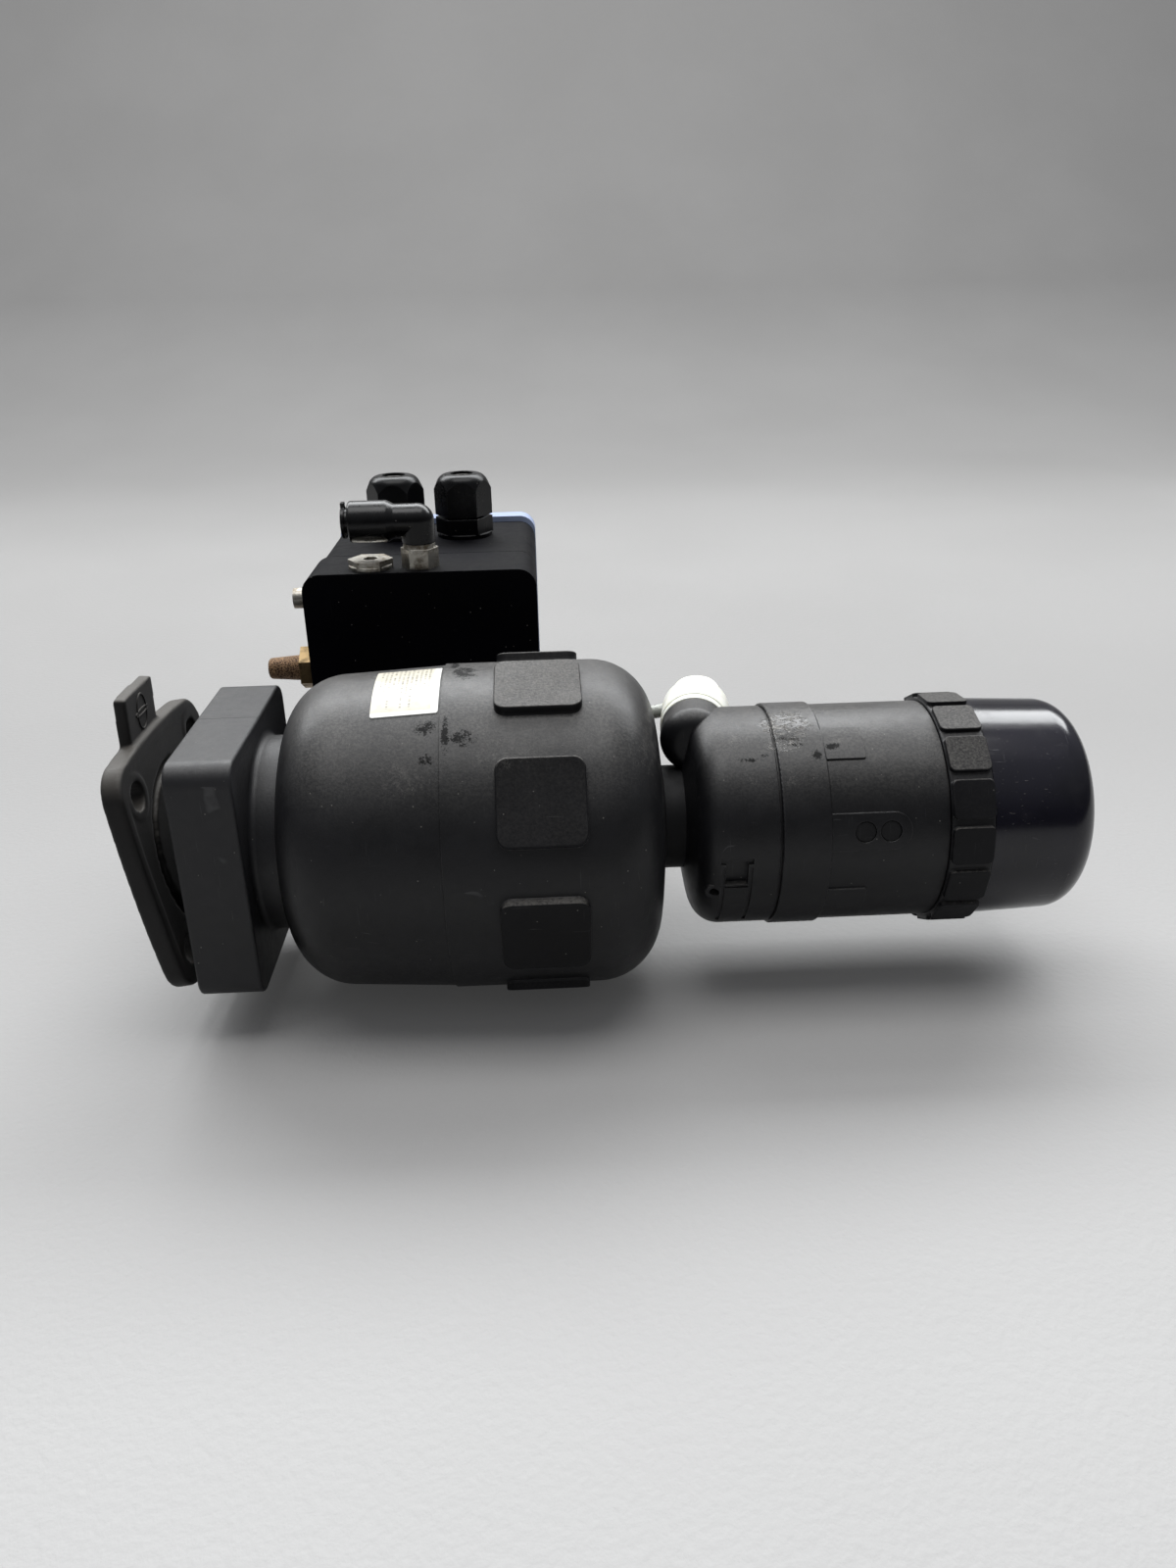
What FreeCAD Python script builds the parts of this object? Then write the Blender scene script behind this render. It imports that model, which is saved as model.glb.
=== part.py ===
import FreeCAD, Part
import math
import os

# Pneumatic piston actuator of a diaphragm valve, with control head and positioner box.
# It lies on its side. Millimetres. X runs along the actuator's axis from the valve flange to the cap,
# Z is up, and the origin is the centre of the flange's valve-side face.

# ---------------------------------------------------------------- driving dimensions
# Bonnet flange, which bolts to the valve
flange_side = 96.5
flange_thickness = 24.3
flange_corner = 8.0
bolt_spacing = 66.0
insert_bore_r = 3.4
insert_outer_r = 5.5
insert_length = 16.0
neck_r = 39.0
neck_end_x = 34.5
bonnet_bore_r = 24.0
bonnet_bore_depth = 17.0
bonnet_bolt_r = 3.0
bonnet_bolt_circle_r = 28.0

# Diaphragm, which hangs from the compressor by the ball of its stud
diaphragm_side = 91.0
diaphragm_bow = 3.0
diaphragm_thickness = 8.0
diaphragm_gap = 8.3
diaphragm_hole_r = 5.5
diaphragm_tilt_deg = 8.3
diaphragm_lean_deg = 14.0
tab_y = (-20.0, 10.0)
tab_top_z = 67.0
tab_thickness = 4.6
tab_lean_deg = 9.5
ball_x = -4.0
ball_r = 4.2

# Piston, stem and closing spring
running = 0.06
stem_r = 6.0
stem_neck_r = 5.0
bush_r = 10.0
rod_r = 3.0
piston_x = 62.0
piston_length = 14.0
piston_r = 56.6
bore_r = 57.0
spring_wire_r = 3.2
spring_coil_r = 38.0
spring_length = 92.5
spring_turns = 5.5

# Barrel: the lower casing and the cover with its flat-faced grip pads
joint_x = 97.5
casing_wall = 4.0
floor_wall = 5.5
casing_small_r = 61.2
casing_large_r = 64.6
casing_shoulder_r = 24.0
cover_r = 65.2
cover_shoulder_x = 175.8
cover_shoulder_r = 25.0
cover_end_x = 182.0
hub_r = 21.0
nipple_r = 12.0
nipple_bore_r = 6.2
pad_count = 8
pad_first_deg = 76.3
pad_face = 67.0
pad_size = 32.5
pad_centre_x = 133.5

# Control head
head_x = 190.0
head_shoulder_x = 194.3
head_shoulder_r = 10.8
head_r = 44.0
base_end_x = 222.4
band_start_x = 223.3
band_end_x = 241.8
band_r = 45.0
band_bore_r = 43.4
shell_end_x = 286.8
shell_r = 43.9
window_x = (254.6, 264.2)
window_deg = 14.0
ring_end_x = 303.8
ring_r = 45.1
ring_pad_face = 46.4
ring_pad_count = 16
ring_pad_first_deg = 5.5
cap_r = 44.6
cap_rim_x = 346.0
cap_rim_r = 42.6
cap_end_x = 349.0
cap_wall = 2.6
cap_skirt = 5.5
seal_x = (293.8, 296.0)

# Air port on the head, its elbow and the link tube to the box
boss_x = 194.8
boss_z = 32.5
boss_r = 13.5
boss_y = (-4.0, 31.0)
port_turn_deg = 9.0
port_hole_r = 8.6
nut_r = 12.0
elbow_front_y = 37.0
elbow_body_y = 47.0
skirt_r = 14.2
dome_r = 10.5
arm_drop_deg = 16.0
tube_r = 3.0
tube_bore_r = 2.0
box_port_y = 86.0
box_port_z = 20.0

# Positioner box, which stands on the table beside the barrel
block_x0 = 32.9
box_x0 = 34.8
box_x1 = 134.6
box_y0 = 70.0
box_seam_y = 106.5
box_y1 = 177.0
box_z1 = 87.8
box_corner = 8.0
gasket = 0.6
cover_gasket = 0.8
rear_cover_depth = 14.0
rear_cover_lip = 2.6
rear_cover_side = 0.4
screw_r = 2.0
screw_inset = 8.5
floor_z = -math.hypot(pad_face, pad_size / 2)

# Fittings on the box
gland_y = 147.0
gland_x = (67.8, 100.4)
gland_flats = 24.0
gland_insert_bore_r = 3.5
elbow_x = 84.0
port_y = 81.0
arm_z = 108.0
arm_start_x = 54.6
sleeve_r = 8.9
plug_x = 62.2
silencer_y = 80.0
silencer_z = 43.5
silencer_tip_x = 12.6
silencer_hex_length = 5.4
port_thread_r = 4.8
top_thread_r = 6.5
vent_thread_r = 3.0
vent_z = 75.5

X = FreeCAD.Vector(1, 0, 0)
Y = FreeCAD.Vector(0, 1, 0)
Z = FreeCAD.Vector(0, 0, 1)


# ---------------------------------------------------------------- helpers
def vec(x, y, z):
    return FreeCAD.Vector(x, y, z)


def rod(radius, x0, x1, y=0.0, z=0.0):
    """A cylinder along X."""
    return Part.makeCylinder(radius, x1 - x0, vec(x0, y, z), X)


def post(radius, z0, z1, x, y):
    """A cylinder along Z."""
    return Part.makeCylinder(radius, z1 - z0, vec(x, y, z0), Z)


def pin_y(radius, y0, y1, x, z):
    """A cylinder along Y."""
    return Part.makeCylinder(radius, y1 - y0, vec(x, y0, z), Y)


def tube(outer, inner, x0, x1, y=0.0, z=0.0):
    return rod(outer, x0, x1, y, z).cut(rod(inner, x0 - 1, x1 + 1, y, z))


def block(x0, x1, y0, y1, z0, z1):
    return Part.makeBox(x1 - x0, y1 - y0, z1 - z0, vec(x0, y0, z0))


def turned(points):
    """A solid of revolution about X from (x, radius) corner points."""
    corners = [vec(x, 0, r) for x, r in points]
    wire = Part.makePolygon(corners + [corners[0]])
    return Part.Face(wire).revolve(vec(0, 0, 0), X, 360)


def round_edges(shape, radius, test):
    """Rounds every edge whose middle point passes the test."""
    chosen = []
    for edge in shape.Edges:
        middle = edge.valueAt((edge.FirstParameter + edge.LastParameter) / 2)
        if test(edge, middle):
            chosen.append(edge)
    return shape.makeFillet(radius, chosen)


def is_ring(edge, x, radius, slack=0.05):
    """True for a full circle about the X axis at that place."""
    curve = edge.Curve
    if not isinstance(curve, Part.Circle):
        return False
    return abs(curve.Center.x - x) < slack and abs(curve.Radius - radius) < slack


def round_rings(shape, radius, rings):
    def test(edge, middle):
        return any(is_ring(edge, x, r) for x, r in rings)

    return round_edges(shape, radius, test)


def rounded_box(x0, x1, y0, y1, z0, z1, radius, along):
    """A box with the four edges that run along one axis rounded."""
    solid = block(x0, x1, y0, y1, z0, z1)

    def test(edge, middle):
        start, end = edge.Vertexes[0].Point, edge.Vertexes[-1].Point
        return abs((end - start).normalize().dot(along)) > 0.99

    return round_edges(solid, radius, test)


def hexagon(across_flats, height, base, direction):
    """A hexagonal prism that stands on base and points along direction."""
    radius = across_flats / math.sqrt(3)
    corners = []
    for k in range(7):
        angle = math.radians(60 * k)
        corners.append(vec(radius * math.cos(angle), radius * math.sin(angle), 0))
    prism = Part.Face(Part.makePolygon(corners)).extrude(vec(0, 0, height))
    prism.Placement = FreeCAD.Placement(base, FreeCAD.Rotation(Z, direction))
    return prism


def patch(inner, outer, centre_x, length, width, corner, angle_deg):
    """A raised patch on a cylinder about X; the angle is measured upwards from -Y."""
    half = length / 2
    prism = rounded_box(-half, half, -width / 2, width / 2, inner * 0.5, outer + 5, corner, Z)
    prism.rotate(vec(0, 0, 0), X, 90 - angle_deg)
    prism.translate(vec(centre_x, 0, 0))
    skin = tube(outer, inner, centre_x - length, centre_x + length)
    return skin.common(prism)


def flat_pads(count, first_deg, inner, face, centre_x, length, width, corner, rim):
    """Raised pads with flat faces, evenly spaced round X; face is a pad's distance from the axis."""
    pad = rounded_box(-length / 2, length / 2, -width / 2, width / 2, inner, face, corner, Z)
    pad = round_edges(pad, rim, lambda edge, middle: abs(middle.z - face) < 0.01)
    pad.translate(vec(centre_x, 0, 0))
    pads = []
    for k in range(count):
        copy = pad.copy()
        copy.rotate(vec(0, 0, 0), X, 90 - first_deg - k * 360 / count)
        pads.append(copy)
    return pads


def bolt_places():
    """Centres (y, z) of the flange's four bolts."""
    half = bolt_spacing / 2
    return [(y, z) for y in (-half, half) for z in (-half, half)]


def fuse_all(first, others):
    return first.multiFuse(others).removeSplitter()


# ---------------------------------------------------------------- valve end
def make_bonnet_flange():
    half = flange_side / 2
    half_x = flange_thickness / 2
    plate = rounded_box(0, flange_thickness, -half, half, -half, half, flange_corner, X)
    plate = round_edges(plate, 1.2, lambda edge, middle: abs(abs(middle.x - half_x) - half_x) < 0.01)
    neck = rod(neck_r, flange_thickness - 1, neck_end_x)
    body = plate.fuse(neck)
    body = round_rings(body, 2.5, [(flange_thickness, neck_r)])
    body = body.cut(rod(bonnet_bore_r, -1, bonnet_bore_depth))
    body = body.cut(rod(bush_r, 0, neck_end_x + 1))
    for y, z in bolt_places():
        body = body.cut(rod(insert_outer_r, -1, insert_length, y, z))
    for y, z in bonnet_bolt_places():
        body = body.cut(rod(bonnet_bolt_r, neck_end_x - 11, neck_end_x + 1, y, z))
    return body


def make_thread_inserts():
    return [tube(insert_outer_r, insert_bore_r, 0, insert_length, y, z) for y, z in bolt_places()]


def bonnet_bolt_places():
    side = bonnet_bolt_circle_r / math.sqrt(2)
    return [(y, z) for y in (-side, side) for z in (-side, side)]


def make_bonnet_bolts():
    bolts = []
    for y, z in bonnet_bolt_places():
        head = hexagon(10.0, 4.0, vec(neck_end_x + floor_wall, y, z), X)
        shank = rod(bonnet_bolt_r, neck_end_x - 10, neck_end_x + floor_wall + 0.5, y, z)
        bolts.append(head.fuse(shank).removeSplitter())
    return bolts


def diaphragm_plate():
    """A square plate with bowed sides and rounded corners; its outer face is at x = -diaphragm_thickness."""
    half = diaphragm_side / 2
    corners = [(-half, -half), (half, -half), (half, half), (-half, half)]
    edges = []
    for k in range(4):
        y0, z0 = corners[k]
        y1, z1 = corners[(k + 1) % 4]
        middle_y = (y0 + y1) / 2
        middle_z = (z0 + z1) / 2
        grow = (half + diaphragm_bow) / half
        arc = Part.Arc(vec(0, y0, z0), vec(0, middle_y * grow, middle_z * grow), vec(0, y1, z1))
        edges.append(arc.toShape())
    plate = Part.Face(Part.Wire(edges)).extrude(vec(-diaphragm_thickness, 0, 0))
    plate = round_edges(plate, 13.0, lambda edge, middle: abs(middle.x + diaphragm_thickness / 2) < 0.01)
    return round_edges(plate, 1.5, lambda edge, middle: min(-middle.x, middle.x + diaphragm_thickness) < 0.01)


def tilt(shape):
    """Turns a diaphragm piece about the ball of its stud, from square to its hanging tilt."""
    lean = math.radians(diaphragm_lean_deg)
    shape.rotate(vec(ball_x, 0, 0), vec(0, math.cos(lean), math.sin(lean)), -diaphragm_tilt_deg)
    return shape


def make_diaphragm_tab():
    """The moulded tab on the upper edge, which leans back towards the flange."""
    root_z = diaphragm_side / 2 - 3
    outer_x = -diaphragm_thickness
    tab = rounded_box(outer_x, outer_x + tab_thickness, tab_y[0], tab_y[1], root_z, tab_top_z, 1.6, X)
    tab.rotate(vec(outer_x, 0, root_z), Y, tab_lean_deg)
    return tab


def make_diaphragm():
    groove = rod(34.0, -2.2, 1).cut(rod(30.0, -3, 2))
    dish = Part.makeSphere(26.0, vec(-diaphragm_thickness - 21.5, 0, 0))
    plate = diaphragm_plate().cut(groove).cut(dish)
    plate = plate.fuse(make_diaphragm_tab()).removeSplitter()
    for y, z in bolt_places():
        plate = plate.cut(rod(diaphragm_hole_r, -diaphragm_thickness - 1, 1, y, z))
    plate.translate(vec(-diaphragm_gap, 0, 0))
    return tilt(plate)


def make_diaphragm_pin():
    ball = Part.makeSphere(ball_r, vec(ball_x, 0, 0))
    neck = rod(2.5, -diaphragm_gap, ball_x)
    return tilt(ball.fuse(neck).removeSplitter())


def make_compressor():
    profile = [(-6, 0), (-6, 9), (-3.5, 10), (-3, 15), (0, 20), (8, 20), (8, 0)]
    body = turned(profile)
    ribs = []
    for k in range(4):
        rib = block(-3, 8, -2.5, 2.5, 12, 23.2)
        rib.rotate(vec(0, 0, 0), X, 45 + 90 * k)
        ribs.append(rib)
    body = fuse_all(body, ribs)
    body = body.cut(Part.makeSphere(ball_r + running, vec(ball_x, 0, 0)))
    body = body.cut(rod(3.6, -7, ball_x))
    return body.cut(rod(stem_r, 2, 9))


def make_stem():
    body = rod(stem_r, 2, piston_x).fuse(rod(stem_neck_r, piston_x, 84)).removeSplitter()
    return body.cut(rod(rod_r, 76, 85))


def make_stem_bush():
    bush = tube(bush_r, stem_r + running, bonnet_bore_depth, neck_end_x + floor_wall)
    return bush.cut(tube(8.0, stem_r, 24.0, 26.4))


def make_stem_seal():
    return tube(8.0, stem_r + running, 24.0, 26.4)


# ---------------------------------------------------------------- piston actuator
def lower_outer():
    shoulder = (neck_end_x, casing_small_r)
    body = turned([(neck_end_x, 0), shoulder, (joint_x, casing_large_r), (joint_x, 0)])
    return round_rings(body, casing_shoulder_r, [shoulder])


def make_barrel_lower():
    floor_x = neck_end_x + floor_wall
    body = lower_outer().fuse(rod(60.4, joint_x - 1, joint_x + 6.5))
    hollow = round_rings(rod(bore_r, floor_x, joint_x + 8), casing_shoulder_r - 6, [(floor_x, bore_r)])
    body = body.cut(hollow)
    body = body.cut(rod(bush_r, neck_end_x - 1, floor_x + 1))
    body = body.cut(tube(61.0, 58.6, joint_x + 2, joint_x + 4.2))
    for y, z in bonnet_bolt_places():
        body = body.cut(rod(bonnet_bolt_r + 0.3, neck_end_x - 1, floor_x + 1, y, z))
    return body.removeSplitter()


def cover_outer(grow=0.0):
    """The cover's outer body; grow is negative for its inside."""
    shoulder = (cover_shoulder_x + grow, cover_r + grow)
    end_x = cover_end_x + grow
    body = turned([(joint_x, 0), (joint_x, cover_r + grow), shoulder, (end_x, hub_r), (end_x, 0)])
    return round_rings(body, cover_shoulder_r + grow, [shoulder])


def make_barrel_cover():
    inner, corner, rim = cover_r - 5, 4.5, 0.7
    pads = flat_pads(pad_count, pad_first_deg, inner, pad_face, pad_centre_x, pad_size, pad_size, corner, rim)
    body = fuse_all(cover_outer(), pads)
    body = body.cut(cover_outer(-casing_wall))
    body = body.cut(rod(60.45, joint_x - 1, joint_x + 6.6))
    return body.cut(rod(nipple_r, cover_end_x - 10, cover_end_x + 1))


def make_barrel_seal():
    return tube(60.4, 58.6, joint_x + 2, joint_x + 4.2)


def make_piston():
    end_x = piston_x + piston_length
    body = rod(piston_r, piston_x, end_x)
    body = body.cut(tube(58.0, 52.0, piston_x + 4, piston_x + 7.6))
    body = body.cut(tube(58.0, 54.0, piston_x + 9.6, piston_x + 12.4))
    body = body.cut(tube(50.0, 46.0, end_x - 8, end_x + 1))
    body = body.cut(tube(30.0, 16.0, end_x - 8, end_x + 1))
    return body.cut(rod(stem_neck_r, piston_x - 1, end_x + 1))


def make_piston_seal():
    return tube(bore_r - running, 52.0, piston_x + 4, piston_x + 7.6)


def make_piston_guide():
    return tube(bore_r - running, 54.0, piston_x + 9.6, piston_x + 12.4)


def make_piston_nut():
    start = piston_x + piston_length
    return hexagon(17.0, 7.0, vec(start, 0, 0), X).cut(rod(stem_neck_r, start - 1, start + 8))


def make_closing_spring():
    start_x = piston_x + piston_length + spring_wire_r + 0.2
    helix = Part.makeHelix(spring_length / spring_turns, spring_length, spring_coil_r)
    profile = Part.Wire(Part.Circle(vec(spring_coil_r, 0, 0), Y, spring_wire_r).toShape())
    coil = Part.Wire(helix.Edges).makePipeShell([profile], True, True)
    coil.rotate(vec(0, 0, 0), Y, 90)
    coil.translate(vec(start_x, 0, 0))
    return coil


def casing_cone(grow):
    """The lower casing's straight cone past its shoulder, thickened by grow."""
    start_x = neck_end_x + casing_shoulder_r
    slope = (casing_large_r - casing_small_r) / (joint_x - neck_end_x)
    start_r = casing_small_r + slope * casing_shoulder_r
    return turned([(start_x, 0), (start_x, start_r + grow), (joint_x, casing_large_r + grow), (joint_x, 0)])


def make_type_label():
    plate = patch(55.0, 70.0, 84.3, 25.0, 35.0, 1.0, 80.5)
    return casing_cone(0.3).cut(casing_cone(0.0)).common(plate)


# ---------------------------------------------------------------- neck and control head
def head_port(shape):
    """Places a piece modelled along +Y from the origin onto the end of the head's boss."""
    shape.rotate(vec(0, 0, 0), Z, -port_turn_deg)
    shape.translate(vec(boss_x, 0, boss_z))
    return shape


def make_neck_ring():
    return tube(hub_r, nipple_r, cover_end_x, head_x)


def make_neck_nipple():
    return tube(nipple_r, nipple_bore_r, cover_end_x - 9, head_x + 17)


def make_head_base():
    shoulder = (head_shoulder_x, head_r)
    body = turned([(head_x, 0), (head_x, hub_r + 0.5), shoulder, (base_end_x, head_r), (base_end_x, 0)])
    body = round_rings(body, head_shoulder_r, [shoulder])
    near_y, far_y = boss_y
    boss = pin_y(boss_r, near_y, far_y, 0, 0)
    boss = round_edges(boss, 7.0, lambda edge, middle: abs(middle.y - near_y) < 0.01)
    boss = round_edges(boss, 1.0, lambda edge, middle: abs(middle.y - far_y) < 0.01)
    boss = head_port(boss).cut(cover_outer(0.8)).cut(rod(hub_r, cover_end_x, head_x))
    body = body.fuse(boss)
    body = body.fuse(rod(42.0, base_end_x - 1, base_end_x + 8))
    body = body.fuse(radial_pin(3.4, 36.0, 42.6, 198.2, -18.5))
    body = body.cut(rod(39.8, head_x + 7, base_end_x + 9))
    body = body.cut(rod(nipple_r, head_x - 1, head_x + 8))
    body = body.cut(tube(43.0, 40.8, base_end_x + 3, base_end_x + 5.2))
    body = body.cut(head_port(pin_y(port_hole_r, 18, 50, 0, 0)))
    body = body.cut(clip_pocket())
    body = body.cut(radial_pin(1.9, 38.0, 49.0, 198.2, -18.5))
    return body.removeSplitter()


def radial(angle_deg):
    """Outward direction at an angle measured upwards from -Y."""
    angle = math.radians(angle_deg)
    return vec(0, -math.cos(angle), math.sin(angle))


def radial_place(x, radius, angle_deg):
    return radial(angle_deg) * radius + vec(x, 0, 0)


def clip_pocket():
    """The stepped pocket in the side of the head base, with its guide slots that run downwards."""
    pocket = patch(41.6, 50.0, 206.3, 8.5, 9.5, 0.6, -6.2)
    notch = patch(42.6, 50.0, 206.3, 12.4, 2.6, 0.5, 0.6)
    slots = [patch(43.2, 50.0, x, 1.4, 34.0, 0.5, -25.0) for x in (201.2, 211.6)]
    ledge = patch(43.2, 50.0, 206.0, 12.4, 1.0, 0.3, -14.0)
    return fuse_all(pocket, slots + [notch, ledge])


def make_base_seal():
    return tube(42.0, 40.8, base_end_x + 3, base_end_x + 5.2)


def make_head_shell():
    start = base_end_x + 0.2
    body = rod(band_bore_r, start, band_end_x).fuse(rod(shell_r, band_end_x, shell_end_x))
    body = body.fuse(rod(40.94, shell_end_x - 1, shell_end_x + 13))
    window = patch(shell_r - 2, 44.6, 252.1, 40.2, 14.5, 6.8, window_deg)
    body = body.fuse(window.cut(rod(50.0, band_end_x - 20, band_end_x)))
    body = body.cut(rod(42.05, start - 1, base_end_x + 9))
    body = body.cut(rod(39.6, base_end_x + 8, shell_end_x - 4))
    body = body.cut(rod(37.5, shell_end_x - 5, shell_end_x + 14))
    for x in window_x:
        body = body.cut(radial_pin(4.1, 43.0, 46, x, window_deg))
    return body.removeSplitter()


def radial_pin(radius, inner, outer, x, angle_deg):
    return Part.makeCylinder(radius, outer - inner, radial_place(x, inner, angle_deg), radial(angle_deg))


def make_window_plugs():
    return [radial_pin(3.8, 43.0, 44.1, x, window_deg) for x in window_x]


def make_head_band():
    body = tube(band_r, band_bore_r, band_start_x, band_end_x)
    body = round_rings(body, 0.6, [(band_start_x, band_r), (band_end_x, band_r)])
    tabs = []
    for angle, width in ((61.0, 15.5), (-31.0, 20.0), (151.0, 15.5), (241.0, 15.5)):
        tabs.append(patch(shell_r, band_r - 0.3, band_end_x + 7.2, 16.0, width, 1.0, angle))
    return fuse_all(body, tabs)


def make_position_sensor():
    bore_r = rod_r + 0.1
    body = tube(9.0, bore_r, 210.0, 275.0)
    plate = tube(39.5, bore_r, 272.0, 275.0)
    for k in range(4):
        window = rod(8.0, 271, 276, 25.0, 0)
        window.rotate(vec(0, 0, 0), X, 45 + 90 * k)
        plate = plate.cut(window)
    return body.fuse(plate).removeSplitter()


def make_feedback_rod():
    return rod(rod_r, 76.0, 240.0)


def make_sensor_board():
    return block(226, 271.5, -24, 24, 14, 15.6)


def make_pilot_valve():
    return rounded_box(200, 219, -28, -10, 10, 24, 2.0, X)


def make_grip_ring():
    start = shell_end_x + 0.3
    length = ring_end_x - start - 0.6
    body = tube(ring_r, 41.0, start, ring_end_x)
    body = round_rings(body, 0.8, [(start, ring_r), (ring_end_x, ring_r)])
    centre_x = (start + ring_end_x) / 2
    first, inner, width, corner, rim = ring_pad_first_deg, 42.5, 15.0, 2.2, 0.5
    pads = flat_pads(ring_pad_count, first, inner, ring_pad_face, centre_x, length, width, corner, rim)
    body = fuse_all(body, pads)
    body = body.cut(rod(43.0, ring_end_x - cap_skirt, ring_end_x + 1))
    return body.cut(rod(43.0, seal_x[0], seal_x[1]))


def cap_outer(grow=0.0):
    rim = (cap_rim_x + grow, cap_rim_r + grow)
    start = ring_end_x - cap_skirt
    body = turned([(start, 0), (start, cap_r + grow), rim, (cap_end_x + grow, 0)])
    return round_rings(body, 12.0 + grow, [rim])


def make_head_cap():
    body = cap_outer().cut(cap_outer(-cap_wall))
    return body.cut(tube(60, 43.0, ring_end_x - 7, ring_end_x + 0.2))


def make_cap_seal():
    return tube(43.0, 41.1, seal_x[0], seal_x[1])


# ---------------------------------------------------------------- air link from head to box
def make_head_elbow_nut():
    stub = head_port(pin_y(port_hole_r, 20.0, elbow_front_y, 0, 0))
    collar = head_port(pin_y(nut_r, boss_y[1], elbow_front_y, 0, 0)).cut(rod(head_r, head_x, base_end_x))
    body = stub.fuse(collar).removeSplitter()
    return body.cut(head_port(pin_y(4.0, 19, elbow_front_y + 1, 0, 0)))


def arm_direction():
    """Direction of the head elbow's outlet, in the frame of the head port."""
    drop = math.radians(arm_drop_deg)
    return vec(-math.cos(drop), 0, -math.sin(drop))


def make_head_elbow():
    """A domed body with a flared skirt towards the head and an outlet to the tube."""
    centre = vec(0, elbow_body_y, 0)
    top_z, bottom_z = 10.5, -13.0
    dome = post(dome_r, bottom_z, top_z, 0, elbow_body_y)
    dome = round_edges(dome, 7.0, lambda edge, middle: abs(middle.z - top_z) < 0.01)
    skirt_length = 9.0
    skirt = Part.makeCone(skirt_r, dome_r, skirt_length, vec(0, elbow_front_y, 0), Y)
    skirt = round_edges(skirt, 1.2, lambda edge, middle: abs(middle.y - elbow_front_y) < 0.01)
    outlet = Part.makeCylinder(5.4, 12.0, centre, arm_direction())
    body = fuse_all(dome, [skirt, outlet])
    body = body.cut(Part.makeCylinder(tube_r, 20.0, centre, arm_direction()))
    body = body.cut(pin_y(nut_r, elbow_front_y - 5, elbow_front_y, 0, 0))
    body = body.cut(pin_y(4.0, elbow_front_y - 1, elbow_body_y, 0, 0))
    return head_port(body).cut(rod(head_r + 0.3, head_x, base_end_x))


def head_outlet():
    """Mouth and direction of the head elbow's outlet, in the part's frame."""
    turn = FreeCAD.Rotation(Z, -port_turn_deg)
    direction = turn.multVec(arm_direction())
    centre = turn.multVec(vec(0, elbow_body_y, 0)) + vec(boss_x, 0, boss_z)
    return centre, direction


def make_link_tube():
    """A 6 mm tube from the head elbow to the fitting on the box: straight runs joined by arcs."""
    centre, direction = head_outlet()
    start = centre + direction * 6.0
    bend = centre + direction * 22.5
    turn = vec(160.0, box_port_y, box_port_z)
    end = vec(box_x1 + 3.0, box_port_y, box_port_z)
    path = rounded_path([start, bend, turn, end], [15.0, 18.0])
    section = Part.Wire(Part.Circle(start, direction, tube_r).toShape())
    hollow = Part.Wire(Part.Circle(start, direction, tube_bore_r).toShape())
    outer = path.makePipeShell([section], True, False)
    return outer.cut(path.makePipeShell([hollow], True, False))


def rounded_path(points, radii):
    """A wire through points, with an arc of the given radius at each inner point."""
    edges = []
    last = points[0]
    for k, radius in enumerate(radii):
        corner = points[k + 1]
        back = (points[k] - corner).normalize()
        ahead = (points[k + 2] - corner).normalize()
        half = back.getAngle(ahead) / 2
        reach = radius / math.tan(half)
        start = corner + back * reach
        end = corner + ahead * reach
        inward = (back + ahead).normalize()
        middle = corner + inward * (radius / math.sin(half) - radius)
        edges.append(Part.LineSegment(last, start).toShape())
        edges.append(Part.Arc(start, middle, end).toShape())
        last = end
    edges.append(Part.LineSegment(last, points[-1]).toShape())
    return Part.Wire(edges)


def make_box_tube_fitting():
    hexagonal = hexagon(13.0, 5.0, vec(box_x1, box_port_y, box_port_z), X)
    sleeve = rod(6.2, box_x1, box_x1 + 12.5, box_port_y, box_port_z)
    thread = rod(port_thread_r, box_x1 - 5, box_x1, box_port_y, box_port_z)
    body = fuse_all(hexagonal, [sleeve, thread])
    return body.cut(rod(tube_r, box_x1 - 6, box_x1 + 14, box_port_y, box_port_z))


# ---------------------------------------------------------------- positioner box
def box_shell(x0, y0, y1, inset=0.0):
    """The box's rounded outline from its left side at x0, between two planes across Y."""
    low, high = floor_z + inset, box_z1 - inset
    return rounded_box(x0 + inset, box_x1 - inset, y0, y1, low, high, box_corner - inset, Y)


def block_screw_places():
    return [(x, z) for x in (66.0, 100.0) for z in (-20.0, 20.0)]


def make_port_block():
    body = box_shell(block_x0, box_y0, box_seam_y - gasket)
    body = body.cut(rounded_box(47, 122, 76, box_seam_y, -56, 66, 5.0, Y))
    for x in (elbow_x, plug_x):
        body = body.cut(post(top_thread_r, box_z1 - 10, box_z1 + 1, x, port_y))
    body = body.cut(rod(port_thread_r, block_x0 - 1, block_x0 + 8, silencer_y, silencer_z))
    body = body.cut(rod(vent_thread_r, block_x0 - 1, block_x0 + 8, silencer_y, vent_z))
    body = body.cut(rod(port_thread_r, box_x1 - 5, box_x1 + 1, box_port_y, box_port_z))
    for x, z in block_screw_places():
        body = body.cut(pin_y(2.7, box_y0 - 1, 77, x, z))
    for x, z in housing_screw_places():
        body = body.cut(pin_y(screw_r, 90, box_seam_y, x, z))
    return body


def housing_screw_places():
    xs = (box_x0 + screw_inset, box_x1 - screw_inset)
    zs = (floor_z + screw_inset, box_z1 - screw_inset)
    return [(x, z) for x in xs for z in zs]


def make_block_gasket():
    body = box_shell(box_x0, box_seam_y - gasket, box_seam_y, 1.0)
    body = body.cut(rounded_box(47, 122, 90, box_seam_y + 1, -56, 66, 5.0, Y))
    for x, z in housing_screw_places():
        body = body.cut(pin_y(screw_r, 90, box_seam_y + 1, x, z))
    return body


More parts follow.
